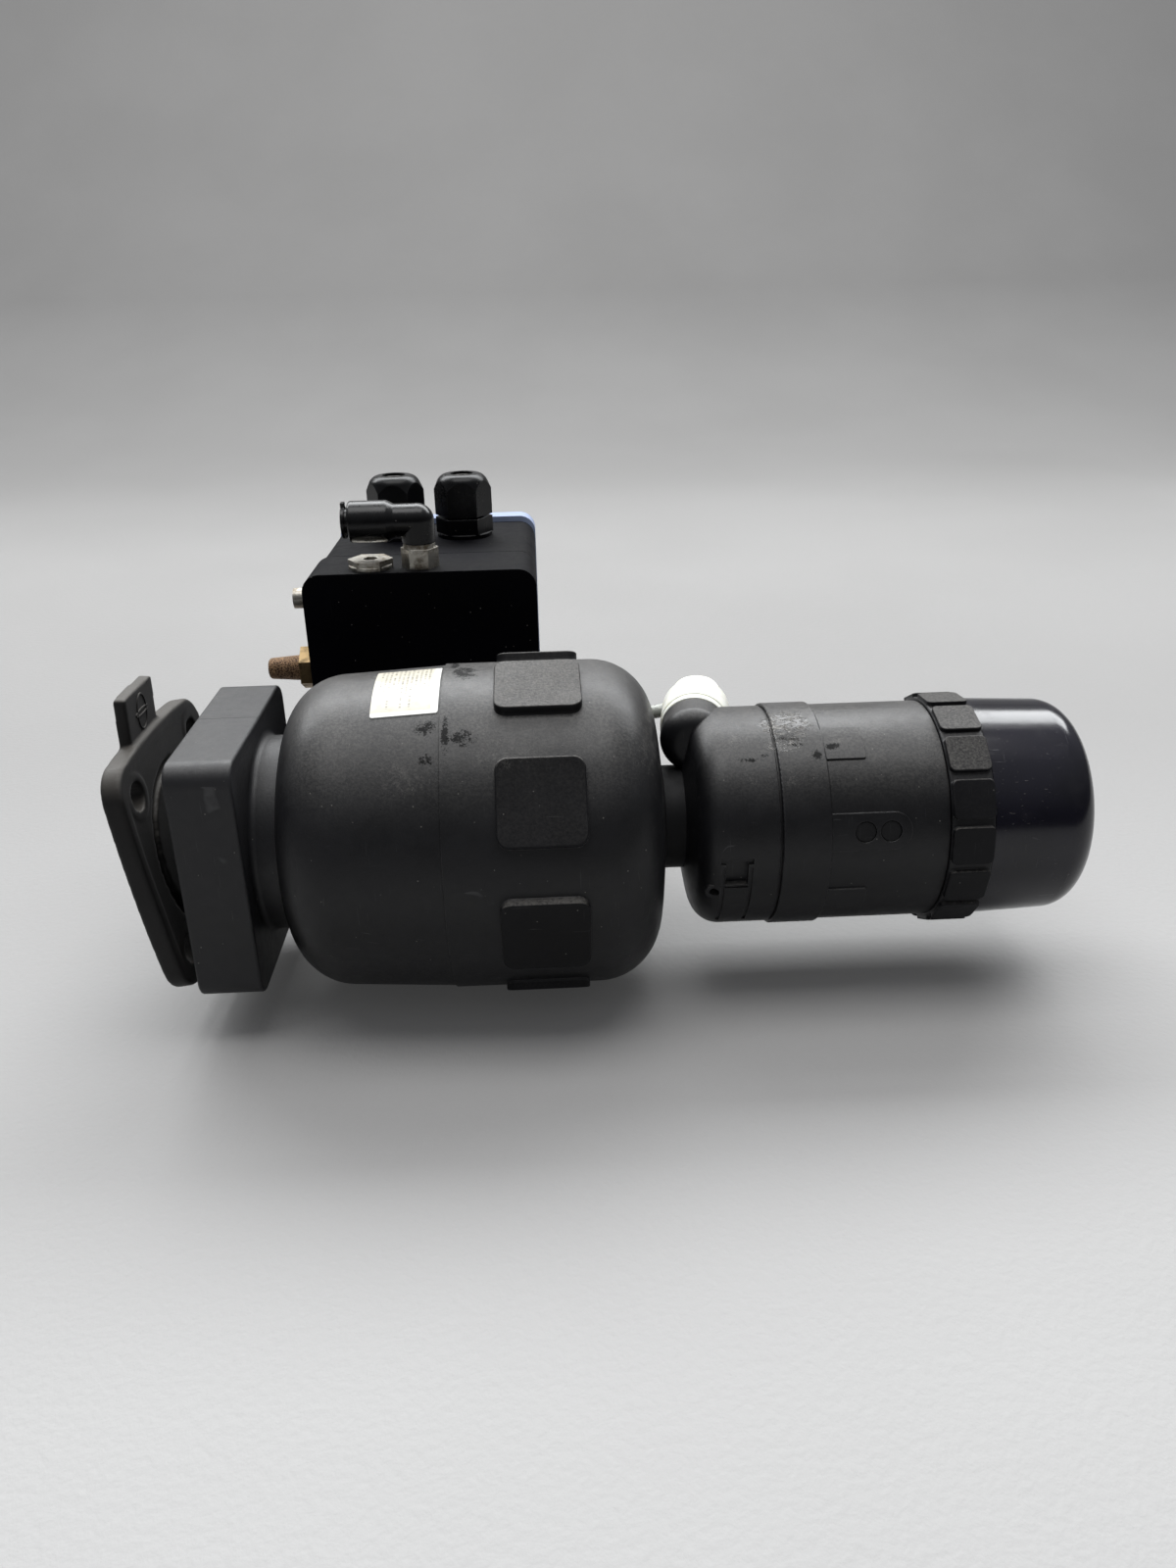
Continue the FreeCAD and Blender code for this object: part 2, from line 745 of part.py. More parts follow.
def make_electronics_housing():
    wall = 4.0
    body = box_shell(box_x0, box_seam_y, box_y1)
    x0, x1 = box_x0 + wall, box_x1 - wall
    body = body.cut(rounded_box(x0, x1, box_seam_y + wall, box_y1 + 1, floor_z + wall, box_z1 - wall, 5.0, Y))
    posts = [pin_y(4.6, box_seam_y + 3, box_y1 - 0.2, x, z) for x, z in housing_screw_places()]
    body = fuse_all(body, posts)
    for x, z in housing_screw_places():
        body = body.cut(pin_y(screw_r, box_seam_y - 1, box_seam_y + 5, x, z))
        body = body.cut(pin_y(screw_r, box_y1 - 12, box_y1 + 1, x, z))
        body = body.cut(pin_y(3.9, box_seam_y + 4, box_seam_y + 9, x, z))
    for x in gland_x:
        body = body.cut(post(10.0, box_z1 - 5, box_z1 + 1, x, gland_y))
    return body


def make_housing_screws():
    screws = []
    for x, z in housing_screw_places():
        head = pin_y(3.6, box_seam_y + 4, box_seam_y + 7, x, z)
        screws.append(head.fuse(pin_y(screw_r, 92, box_seam_y + 5, x, z)).removeSplitter())
    return screws


def make_cover_gasket():
    end_y = box_y1 + cover_gasket
    body = box_shell(box_x0, box_y1, end_y, 1.0)
    x0, x1 = box_x0 + 5, box_x1 - 5
    body = body.cut(rounded_box(x0, x1, box_y1 - 1, end_y + 1, floor_z + 5, box_z1 - 5, 4.0, Y))
    for x, z in housing_screw_places():
        body = body.cut(pin_y(screw_r, box_y1 - 1, end_y + 1, x, z))
    return body


def make_rear_cover():
    y0 = box_y1 + cover_gasket
    y1 = y0 + rear_cover_depth
    x0, x1 = box_x0 - rear_cover_side, box_x1 + rear_cover_side
    body = rounded_box(x0, x1, y0, y1, floor_z, box_z1 + rear_cover_lip, box_corner, Y)
    body = round_edges(body, 3.0, lambda edge, middle: abs(middle.y - y1) < 0.01)
    x0, x1 = box_x0 + 14, box_x1 - 14
    body = body.cut(rounded_box(x0, x1, y0 - 1, y1 - 3, floor_z + 14, box_z1 - 14, 6.0, Y))
    window = rounded_box(box_x0 + 22, box_x1 - 22, y1 - 1, y1 + 1, 8, 62, 5.0, Y)
    body = body.cut(window)
    for x, z in housing_screw_places():
        body = body.cut(pin_y(screw_r + 0.2, y0 - 1, y1 + 1, x, z))
        body = body.cut(pin_y(3.8, y1 - 4.0, y1 + 1, x, z))
    return body


def make_cover_screws():
    screws = []
    head_y = box_y1 + cover_gasket + rear_cover_depth - 4.0
    for x, z in housing_screw_places():
        shank = pin_y(screw_r, box_y1 - 10, head_y + 1, x, z)
        head = pin_y(3.5, head_y, head_y + 3.2, x, z)
        socket = hexagon(3.0, 2.0, vec(x, head_y + 1.6, z), Y)
        screws.append(shank.fuse(head).removeSplitter().cut(socket))
    return screws


def make_circuit_board():
    return block(box_x0 + 7, box_x1 - 7, 150.0, 151.6, floor_z + 16, box_z1 - 16)


def make_terminal_block():
    body = block(box_x0 + 14, box_x1 - 14, 151.6, 162.0, -48.0, -34.0)
    for k in range(8):
        x = box_x0 + 19 + k * 8.6
        body = body.cut(pin_y(2.2, 155.0, 163.0, x, -41.0))
    return body


def make_valve_block():
    body = rounded_box(56, 112, 84, 104, -14, 44, 3.0, Y)
    for z in (0.0, 15.0, 30.0):
        body = body.cut(pin_y(4.0, 92, 105, 84, z))
    return body


def make_mounting_saddle():
    body = rounded_box(56, 112, 46, box_y0, -30, 30, 5.0, Y)
    body = body.cut(lower_outer()).cut(rod(cover_r, joint_x, 140))
    for x, z in block_screw_places():
        body = body.cut(pin_y(2.5, 63.5, box_y0 + 1, x, z))
    return body


def make_saddle_screws():
    screws = []
    for x, z in block_screw_places():
        head = pin_y(4.2, 76.0, 80.0, x, z).cut(hexagon(4.0, 3.0, vec(x, 78, z), Y))
        screws.append(head.fuse(pin_y(2.5, 65.0, 76.5, x, z)).removeSplitter())
    return screws


# ---------------------------------------------------------------- glands and air fittings
def make_gland_bodies():
    bodies = []
    for x in gland_x:
        body = hexagon(gland_flats, 7.5, vec(x, gland_y, box_z1 + 1.8), Z)
        body = body.fuse(post(13.4, box_z1, box_z1 + 1.8, x, gland_y))
        body = body.fuse(post(10.0, box_z1 - 9, box_z1, x, gland_y))
        body = body.fuse(post(9.84, box_z1 + 9, box_z1 + 17, x, gland_y))
        bodies.append(body.cut(post(7.0, box_z1 - 10, box_z1 + 18, x, gland_y)).removeSplitter())
    return bodies


def make_gland_nut(x):
    """A hexagonal dome nut: its flats end in arcs where the dome begins."""
    base = box_z1 + 10.3
    height = 19.4
    rim_z = 11.5
    dome = turned([(0, 0), (0, 14.2), (rim_z, 14.2), (height, 10.6), (height, 0)])
    dome = round_rings(dome, 5.5, [(height, 10.6)])
    dome = round_rings(dome, 5.0, [(rim_z, 14.2)])
    dome.rotate(vec(0, 0, 0), Y, -90)
    dome.translate(vec(x, gland_y, base))
    body = hexagon(gland_flats, height, vec(x, gland_y, base), Z).common(dome)
    body = body.cut(post(9.9, base - 1, base + 8, x, gland_y))
    body = body.cut(post(7.3, base, base + height - 3, x, gland_y))
    return body.cut(post(5.6, base, base + height + 1, x, gland_y))


def make_gland_inserts():
    """Rubber sleeves that close on the cable, with a narrower neck through the nut's opening."""
    inserts = []
    for x in gland_x:
        shoulder = box_z1 + 26.3
        top = box_z1 + 28.5
        body = post(7.0, box_z1 + 2, shoulder, x, gland_y).fuse(post(5.3, shoulder, top, x, gland_y))
        inserts.append(body.cut(post(gland_insert_bore_r, box_z1, top + 1, x, gland_y)).removeSplitter())
    return inserts


def make_elbow_base():
    body = hexagon(14.2, 8.6, vec(elbow_x, port_y, box_z1), Z)
    body = body.fuse(post(7.0, box_z1 + 8.6, box_z1 + 10.6, elbow_x, port_y))
    body = body.fuse(post(top_thread_r, box_z1 - 9, box_z1, elbow_x, port_y))
    body = body.fuse(post(4.5, box_z1 + 10, arm_z - 1.5, elbow_x, port_y))
    return body.cut(post(3.0, box_z1 - 10, arm_z, elbow_x, port_y)).removeSplitter()


def make_elbow_body():
    knee = Part.makeSphere(7.3, vec(elbow_x, port_y, arm_z))
    upright = post(7.3, box_z1 + 10.9, arm_z, elbow_x, port_y)
    arm = rod(7.2, 72.0, elbow_x, port_y, arm_z)
    sleeve = turned([(arm_start_x, 0), (arm_start_x, sleeve_r), (71.0, sleeve_r), (75.0, 6.9), (75.0, 0)])
    sleeve = round_rings(sleeve, 1.4, [(arm_start_x, sleeve_r)])
    sleeve = round_rings(sleeve, 3.0, [(71.0, sleeve_r)])
    sleeve.translate(vec(0, port_y, arm_z))
    body = fuse_all(knee, [upright, arm, sleeve])
    body = body.cut(post(4.5 + running, box_z1 + 10, arm_z, elbow_x, port_y))
    body = body.cut(rod(3.0, 60.0, elbow_x, port_y, arm_z))
    body = body.cut(rod(4.1, 58.0, 70.0, port_y, arm_z))
    return body.cut(rod(5.6, arm_start_x - 1, 62.0, port_y, arm_z))


def make_elbow_collet():
    outer_x = arm_start_x - 2.8
    inner_x = arm_start_x - 1.4
    lip = rod(6.9, outer_x, inner_x, port_y, arm_z)
    sleeve = rod(5.5, arm_start_x - 2.0, 59.6, port_y, arm_z)
    tab = block(outer_x, inner_x, port_y - 2.2, port_y + 2.2, arm_z + 5.5, arm_z + 8.4)
    body = fuse_all(lip, [sleeve, tab])
    return body.cut(rod(4.05, arm_start_x - 4, 61.0, port_y, arm_z))


def make_port_plug():
    head = hexagon(17.0, 4.2, vec(plug_x, port_y, box_z1), Z)
    head = head.fuse(post(9.4, box_z1, box_z1 + 1.6, plug_x, port_y))
    head = head.cut(hexagon(6.0, 5.0, vec(plug_x, port_y, box_z1 + 1.2), Z))
    return head.fuse(post(top_thread_r, box_z1 - 9, box_z1, plug_x, port_y)).removeSplitter()


def make_silencer_hex():
    body = hexagon(17.0, silencer_hex_length, vec(block_x0, silencer_y, silencer_z), vec(-1, 0, 0))
    return body.fuse(rod(port_thread_r, block_x0, block_x0 + 8, silencer_y, silencer_z)).removeSplitter()


def make_silencer_core():
    root_x = block_x0 - silencer_hex_length
    core = turned([(silencer_tip_x, 0), (silencer_tip_x, 4.6), (root_x, 5.8), (root_x, 0)])
    core = round_rings(core, 1.6, [(silencer_tip_x, 4.6)])
    core.translate(vec(0, silencer_y, silencer_z))
    return core


def make_vent_bolt():
    body = rod(4.5, block_x0 - 5.4, block_x0, silencer_y, vent_z)
    return body.fuse(rod(vent_thread_r, block_x0, block_x0 + 8, silencer_y, vent_z)).removeSplitter()


# ---------------------------------------------------------------- writing the nodes
def save(name, shape):
    """Writes one node as a STEP file of one or more separate solids."""
    pieces = shape if isinstance(shape, list) else [shape]
    solids = []
    for piece in pieces:
        solids.extend(piece.Solids)
    valid = all(solid.isValid() for solid in solids)
    result = solids[0] if len(solids) == 1 else Part.makeCompound(solids)
    result.exportStep(os.path.join("parts", name + ".step"))
    print(name, len(solids), "solids", round(sum(solid.Volume for solid in solids)), "mm3, valid", valid)


NODES = {
    "bonnet_flange": make_bonnet_flange,
    "thread_inserts": make_thread_inserts,
    "bonnet_bolts": make_bonnet_bolts,
    "diaphragm": make_diaphragm,
    "diaphragm_pin": make_diaphragm_pin,
    "compressor": make_compressor,
    "stem": make_stem,
    "stem_bush": make_stem_bush,
    "stem_seal": make_stem_seal,
    "barrel_lower": make_barrel_lower,
    "barrel_cover": make_barrel_cover,
    "barrel_seal": make_barrel_seal,
    "piston": make_piston,
    "piston_seal": make_piston_seal,
    "piston_guide": make_piston_guide,
    "piston_nut": make_piston_nut,
    "closing_spring": make_closing_spring,
    "type_label": make_type_label,
    "neck_ring": make_neck_ring,
    "neck_nipple": make_neck_nipple,
    "head_base": make_head_base,
    "base_seal": make_base_seal,
    "head_shell": make_head_shell,
    "window_plugs": make_window_plugs,
    "head_band": make_head_band,
    "position_sensor": make_position_sensor,
    "feedback_rod": make_feedback_rod,
    "sensor_board": make_sensor_board,
    "pilot_valve": make_pilot_valve,
    "grip_ring": make_grip_ring,
    "head_cap": make_head_cap,
    "cap_seal": make_cap_seal,
    "head_elbow_nut": make_head_elbow_nut,
    "head_elbow": make_head_elbow,
    "link_tube": make_link_tube,
    "box_tube_fitting": make_box_tube_fitting,
    "port_block": make_port_block,
    "block_gasket": make_block_gasket,
    "electronics_housing": make_electronics_housing,
    "housing_screws": make_housing_screws,
    "cover_gasket": make_cover_gasket,
    "rear_cover": make_rear_cover,
    "cover_screws": make_cover_screws,
    "circuit_board": make_circuit_board,
    "terminal_block": make_terminal_block,
    "valve_block": make_valve_block,
    "mounting_saddle": make_mounting_saddle,
    "saddle_screws": make_saddle_screws,
    "gland_bodies": make_gland_bodies,
    "gland_nut_left": lambda: make_gland_nut(gland_x[0]),
    "gland_nut_right": lambda: make_gland_nut(gland_x[1]),
    "gland_inserts": make_gland_inserts,
    "elbow_base": make_elbow_base,
    "elbow_body": make_elbow_body,
    "elbow_collet": make_elbow_collet,
    "port_plug": make_port_plug,
    "silencer_hex": make_silencer_hex,
    "silencer_core": make_silencer_core,
    "vent_bolt": make_vent_bolt,
}

os.makedirs("parts", exist_ok=True)
for node, make in NODES.items():
    save(node, make())
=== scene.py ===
import math

import bmesh
import bpy
from mathutils import Matrix, Vector


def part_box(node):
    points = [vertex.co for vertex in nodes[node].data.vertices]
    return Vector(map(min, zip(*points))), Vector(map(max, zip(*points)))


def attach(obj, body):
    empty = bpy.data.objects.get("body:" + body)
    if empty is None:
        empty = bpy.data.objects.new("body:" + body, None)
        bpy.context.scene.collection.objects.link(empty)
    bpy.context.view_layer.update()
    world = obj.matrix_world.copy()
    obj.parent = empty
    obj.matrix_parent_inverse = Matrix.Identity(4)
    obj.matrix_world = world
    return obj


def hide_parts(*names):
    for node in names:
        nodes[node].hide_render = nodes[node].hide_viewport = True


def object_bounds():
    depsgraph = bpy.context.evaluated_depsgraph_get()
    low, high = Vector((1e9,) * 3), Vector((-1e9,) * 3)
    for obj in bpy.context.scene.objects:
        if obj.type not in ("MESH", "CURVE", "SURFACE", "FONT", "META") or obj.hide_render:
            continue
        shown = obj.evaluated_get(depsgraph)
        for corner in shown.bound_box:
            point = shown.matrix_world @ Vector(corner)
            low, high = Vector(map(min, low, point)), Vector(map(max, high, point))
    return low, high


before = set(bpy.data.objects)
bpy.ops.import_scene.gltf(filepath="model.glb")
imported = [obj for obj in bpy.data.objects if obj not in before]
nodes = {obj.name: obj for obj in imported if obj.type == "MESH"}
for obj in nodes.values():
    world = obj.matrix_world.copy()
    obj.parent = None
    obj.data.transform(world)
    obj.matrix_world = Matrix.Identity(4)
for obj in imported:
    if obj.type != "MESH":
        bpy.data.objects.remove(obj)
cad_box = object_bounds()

# The looks of a pneumatic piston actuator with its control head and positioner box. Metres.
# X runs along the actuator from the valve flange to the cap, Z is up, and the positioner box is on +Y.

MM = 0.001


# ---------------------------------------------------------------- named sizes and places
floor_z = cad_box[0].z
parting_y = 3.4 * MM
casing_pads_r = (66.0 * MM, 66.4 * MM)
ring_pads_r = (45.6 * MM, 45.9 * MM)

# The diaphragm in its own frame: square to X, with its flange-side face at x = 0
diaphragm_pivot = Vector((-4.0, 0, 0)) * MM
diaphragm_lean = math.radians(14.0)
diaphragm_tilt = math.radians(-8.3)
diaphragm_face = -8.3 * MM
diaphragm_half = 45.5 * MM
diaphragm_bow = 3.0 * MM
diaphragm_corner_r = 14.0 * MM
bolt_place = 33.0 * MM
rim_slope = (4.0 * MM, 5.6 * MM)
eye_slope = (8.2 * MM, 9.6 * MM)
face_layer = (-3.0 * MM, -0.8 * MM)
field_depth = 0.35 * MM
sag_depth = 0.25 * MM
voxel = 0.8 * MM
tab_hinge = Vector((-8.0, 0, 42.5)) * MM
tab_lean = math.radians(9.5)
mark_centre = Vector((-3.4, -5.0, 57.5)) * MM
oval_half = (4.6 * MM, 6.8 * MM)
bar_half = (6.2 * MM, 1.1 * MM)
bead_r = 0.42 * MM

# The label is bent round the casing, with its middle at label_angle from -Y towards +Z
label_x = (71.8 * MM, 96.8 * MM)
label_angle = math.radians(80.5)
label_height = 35.0 * MM
casing_r = 63.2 * MM

# Two rings slip over the head's tube port: start and end along the port, and outer radius
port_centre = Vector((194.8, 0, 32.5)) * MM
port_turn = math.radians(-9.0)
port_r = 13.52 * MM
port_rings = {"elbow_ring": (13.4 * MM, 18.0 * MM, 13.95 * MM),
              "elbow_sleeve": (18.3 * MM, 37.4 * MM, 14.25 * MM)}
ring_edge = 0.35 * MM

# The rear cover's panel: each layer is given by the depths of its two faces below the cover's back
cover_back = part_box("rear_cover")[1].y
panel_x = (57.0 * MM, 112.4 * MM)
panel_z = (8.2 * MM, 61.8 * MM)
panel_layer = (1.0 * MM, 0.6 * MM)
panel_corner_r = 4.8 * MM
window_inset = 4.0 * MM
window_z = (27.0 * MM, 57.0 * MM)
window_layer = (0.65 * MM, 0.3 * MM)
window_corner_r = 2.5 * MM
key_x = (66.0 * MM, 78.5 * MM, 91.0 * MM, 103.5 * MM)
key_half = 4.0 * MM
key_z = (13.5 * MM, 21.5 * MM)
key_layer = (0.65 * MM, 0.12 * MM)
key_corner_r = 3.2 * MM

camera_place = Vector((0.134834, -0.427001, 0.204035))
camera_yaw = 0.041
camera_pitch = 0.415
camera_roll = -0.021
camera_lens = 26.55


# ---------------------------------------------------------------- material graphs
class Graph:
    """The node tree of one material in object coordinates, with short calls for what the finishes share."""

    def __init__(self, name, fixed):
        self.material = bpy.data.materials.new(name)
        self.material.use_nodes = True
        self.tree = self.material.node_tree
        self.shader = self.tree.nodes["Principled BSDF"]
        for socket, value in fixed.items():
            self.shader.inputs[socket].default_value = value
        where = self.tree.nodes.new("ShaderNodeTexCoord")
        self.place = where.outputs["Object"]
        self.facing = where.outputs["Normal"]

    def put(self, node, socket, value):
        """Links a socket to an input, or sets a plain value there."""
        if isinstance(value, bpy.types.NodeSocket):
            self.tree.links.new(value, node.inputs[socket])
        else:
            node.inputs[socket].default_value = value

    def maths(self, operation, a, b=0.0):
        node = self.tree.nodes.new("ShaderNodeMath")
        node.operation = operation
        self.put(node, 0, a)
        self.put(node, 1, b)
        return node.outputs[0]

    def times(self, product, *factors):
        """The product of all that is given."""
        for factor in factors:
            product = self.maths("MULTIPLY", product, factor)
        return product

    def vector(self, operation, a, b=(0, 0, 0)):
        node = self.tree.nodes.new("ShaderNodeVectorMath")
        node.operation = operation
        self.put(node, 0, a)
        self.put(node, 1, b)
        return node.outputs["Value"] if operation in ("LENGTH", "DOT_PRODUCT") else node.outputs["Vector"]

    def split(self, vector):
        node = self.tree.nodes.new("ShaderNodeSeparateXYZ")
        self.put(node, 0, vector)
        return node.outputs

    def join(self, x, y, z):
        node = self.tree.nodes.new("ShaderNodeCombineXYZ")
        for socket, value in enumerate((x, y, z)):
            self.put(node, socket, value)
        return node.outputs[0]

    def step(self, value, low, high, to_low=0.0, to_high=1.0):
        """A smooth step from to_low at low to to_high at high."""
        node = self.tree.nodes.new("ShaderNodeMapRange")
        node.interpolation_type = "SMOOTHSTEP"
        self.put(node, "Value", value)
        self.put(node, "From Min", low)
        self.put(node, "From Max", high)
        self.put(node, "To Min", to_low)
        self.put(node, "To Max", to_high)
        return node.outputs[0]

    def stretched(self, stretch, turn=(0, 0, 0)):
        node = self.tree.nodes.new("ShaderNodeMapping")
        self.put(node, "Vector", self.place)
        self.put(node, "Scale", stretch)
        self.put(node, "Rotation", turn)
        return node.outputs[0]

    def noise(self, scale, detail=3.0, roughness=0.55, at=None):
        node = self.tree.nodes.new("ShaderNodeTexNoise")
        self.put(node, "Vector", at or self.place)
        self.put(node, "Scale", scale)
        self.put(node, "Detail", detail)
        self.put(node, "Roughness", roughness)
        return node.outputs["Fac"]

    def cells(self, scale, at=None):
        """Distance from the nearest of scattered points."""
        node = self.tree.nodes.new("ShaderNodeTexVoronoi")
        self.put(node, "Vector", at or self.place)
        self.put(node, "Scale", scale)
        return node.outputs["Distance"]

    def mix(self, factor, a, b):
        node = self.tree.nodes.new("ShaderNodeMix")
        node.data_type = "RGBA"
        self.put(node, 0, factor)
        self.put(node, 6, a)
        self.put(node, 7, b)
        return node.outputs[2]

    def bump(self, height, depth, normal=None):
        """Raises the surface by height, 0 to 1, times depth in metres."""
        node = self.tree.nodes.new("ShaderNodeBump")
        self.put(node, "Height", height)
        self.put(node, "Distance", depth)
        if normal is not None:
            self.put(node, "Normal", normal)
        return node.outputs[0]

    def softened(self, radius):
        """The surface's normal with its sharp edges rounded."""
        node = self.tree.nodes.new("ShaderNodeBevel")
        node.samples = 4
        self.put(node, "Radius", radius)
        return node.outputs[0]

    def edges(self, soft):
        """1 where the softened normal turns away from the true one, which is along sharp edges."""
        true = self.tree.nodes.new("ShaderNodeNewGeometry").outputs["Normal"]
        return self.step(self.vector("DOT_PRODUCT", soft, true), 0.995, 0.9)

    def reach(self, centre, size):
        """Distance from centre as a share of size, which is given along each axis."""
        away = self.vector("DIVIDE", self.vector("SUBTRACT", self.place, centre), size)
        return self.vector("LENGTH", away)

    def patch(self, centre, size):
        """1 in a ragged patch round centre, 0 outside it."""
        raggedness = 1.6
        reach = self.reach(centre, size)
        torn = self.times(self.maths("SUBTRACT", self.noise(230.0, 6.0, 0.8), 0.5), raggedness)
        return self.step(self.maths("ADD", reach, torn), 0.95, 0.8)

    def speckled(self, centre, size, fullness=0.3):
        """A patch of fine grains that thins out towards its rim."""
        cover = self.step(self.reach(centre, size), 1.5, 0.1, 0.0, fullness)
        grains = self.maths("ADD", self.noise(1500.0, 3.0, 0.75), cover)
        clumps = self.step(self.noise(300.0, 5.0, 0.7), 0.35, 0.62, -0.14, 0.14)
        return self.step(self.maths("ADD", grains, clumps), 0.80, 0.90)

    def from_axis(self):
        """Distance from the X axis."""
        x, y, z = self.split(self.place)
        return self.vector("LENGTH", self.join(0.0, y, z))

    def finish(self, colour, roughness, normal=None):
        self.put(self.shader, "Base Color", colour)
        self.put(self.shader, "Roughness", roughness)
        if normal is not None:
            self.put(self.shader, "Normal", normal)
        return self.material


def rgb(red, green, blue):
    return (red, green, blue, 1.0)


def millimetres(x, y, z):
    return (x * MM, y * MM, z * MM)


DUST = rgb(0.20, 0.19, 0.175)
SCUFF = rgb(0.11, 0.11, 0.112)
GREASE = rgb(0.003, 0.003, 0.003)


# ---------------------------------------------------------------- plastics
def add_scratches(graph, amount):
    """Fine hairline scratches in two directions, from 0 to amount."""
    lines = None
    for turn, along in ((0.5, (60, 3200, 60)), (-0.9, (3600, 90, 70))):
        streak = graph.noise(1.0, 2.0, 0.5, graph.stretched(along, (turn, 0.3 * turn, turn)))
        line = graph.step(streak, 0.70, 0.74)
        lines = line if lines is None else graph.maths("MAXIMUM", lines, line)
    broken = graph.step(graph.noise(55.0, 4.0), 0.46, 0.62)
    return graph.times(lines, broken, amount)


def moulded(name, colour, roughness, grain=0.00005, dust=0.2, wear=0.35, scratched=0.25, specular=0.4,
            marks=None, pads_r=None, parting=None):
    """Moulded plastic: fine grain, cloudy sheen, dust on what faces up, specks, scuffed edges, local marks.

    marks holds lists of (centre, size) under "grease", "wet" and "dusty"; between the two radii pads_r the
    surface turns coarsely grained, with a painted sheen that lightens the grain where it faces up; parting
    is the y of a mould line that shows on what faces up.
    """
    graph = Graph(name, {"Specular IOR Level": specular, "IOR": 1.5})
    cloud = graph.noise(22.0, 5.0, 0.6)
    mottle = graph.noise(260.0, 4.0, 0.6)
    darker = tuple(0.7 * c for c in colour[:3]) + (1.0,)
    lighter = tuple(1.45 * c for c in colour[:3]) + (1.0,)
    paint = graph.mix(graph.step(cloud, 0.35, 0.65), darker, lighter)
    sheen = graph.step(cloud, 0.3, 0.7, roughness - 0.05, roughness + 0.07)
    sheen = graph.maths("ADD", sheen, graph.step(mottle, 0.3, 0.7, -0.03, 0.03))

    facing_up = graph.split(graph.facing)[2]
    fine_dust = graph.step(graph.noise(900.0, 5.0, 0.75), 0.4, 0.62, 0.25, 1.0)
    wide_dust = graph.step(graph.noise(60.0, 5.0, 0.65), 0.3, 0.7, 0.6, 1.0)
    film = graph.times(graph.step(facing_up, 0.35, 1.0), fine_dust, wide_dust, dust)
    paint = graph.mix(film, paint, DUST)
    sheen = graph.maths("ADD", sheen, graph.times(film, 0.35))

    specks = graph.times(graph.step(graph.cells(260.0), 0.085, 0.05), graph.step(mottle, 0.5, 0.56), 0.55)
    paint = graph.mix(specks, paint, DUST)

    lines = add_scratches(graph, scratched)
    paint = graph.mix(lines, paint, SCUFF)

    soft = graph.softened(0.00045)
    rubbed = graph.step(graph.noise(140.0, 6.0, 0.65), 0.38, 0.62)
    rubbed = graph.times(graph.edges(soft), rubbed, wear)
    paint = graph.mix(rubbed, paint, SCUFF)

    relief = graph.bump(graph.noise(1250.0, 2.0, 0.6), grain, soft)
    relief = graph.bump(mottle, grain * 0.8, relief)
    shine = specular
    if pads_r:
        on_pad = graph.step(graph.from_axis(), *pads_r)
        shine = graph.times(graph.step(on_pad, 0.0, 1.0, 1.0, 0.5), shine)
        rough = graph.times(on_pad, graph.step(facing_up, 0.45, 0.9))
        coarse = graph.noise(1100.0, 3.0, 0.7)
        # The coarse grain on pads that face up is painted lighter: a painted sheen on the pad tops.
        pad_top_painted_sheen = graph.times(rough, graph.step(coarse, 0.35, 0.7, 0.02, 0.3))
        paint = graph.mix(pad_top_painted_sheen, paint, DUST)
        sheen = graph.maths("ADD", sheen, graph.times(rough, 0.05))
        relief = graph.bump(graph.times(coarse, rough), 0.00010, relief)
    if parting is not None:
        x, y, z = graph.split(graph.place)
        off = graph.maths("ABSOLUTE", graph.maths("SUBTRACT", y, parting))
        line = graph.times(graph.step(off, 0.0005, 0.0002), graph.step(facing_up, 0.8, 0.9))
        paint = graph.mix(graph.times(line, 0.7), paint, GREASE)
        relief = graph.bump(line, 0.00025, relief)
    for centre, size in (marks or {}).get("dusty", ()):
        mark = graph.speckled(centre, size)
        paint = graph.mix(graph.times(mark, 0.14), paint, DUST)
    for centre, size in (marks or {}).get("wet", ()):
        mark = graph.patch(centre, size)
        streaks = graph.noise(1.0, 5.0, 0.75, graph.stretched((330, 760, 760), (0.35, 0.2, 0.3)))
        crust = graph.times(graph.step(streaks, 0.50, 0.60), mark)
        sheen = graph.maths("SUBTRACT", sheen, graph.times(mark, 0.16))
        paint = graph.mix(graph.times(crust, 0.75), paint, DUST)
        relief = graph.bump(crust, 0.00012, relief)
    for centre, size in (marks or {}).get("grease", ()):
        mark = graph.speckled(centre, size, 0.46)
        paint = graph.mix(mark, paint, GREASE)
        shine = graph.times(shine, graph.maths("SUBTRACT", 1.0, graph.times(mark, 0.75)))
    if shine is not specular:
        graph.put(graph.shader, "Specular IOR Level", shine)
    return graph.finish(paint, graph.maths("SUBTRACT", sheen, graph.times(lines, 0.2)), relief)


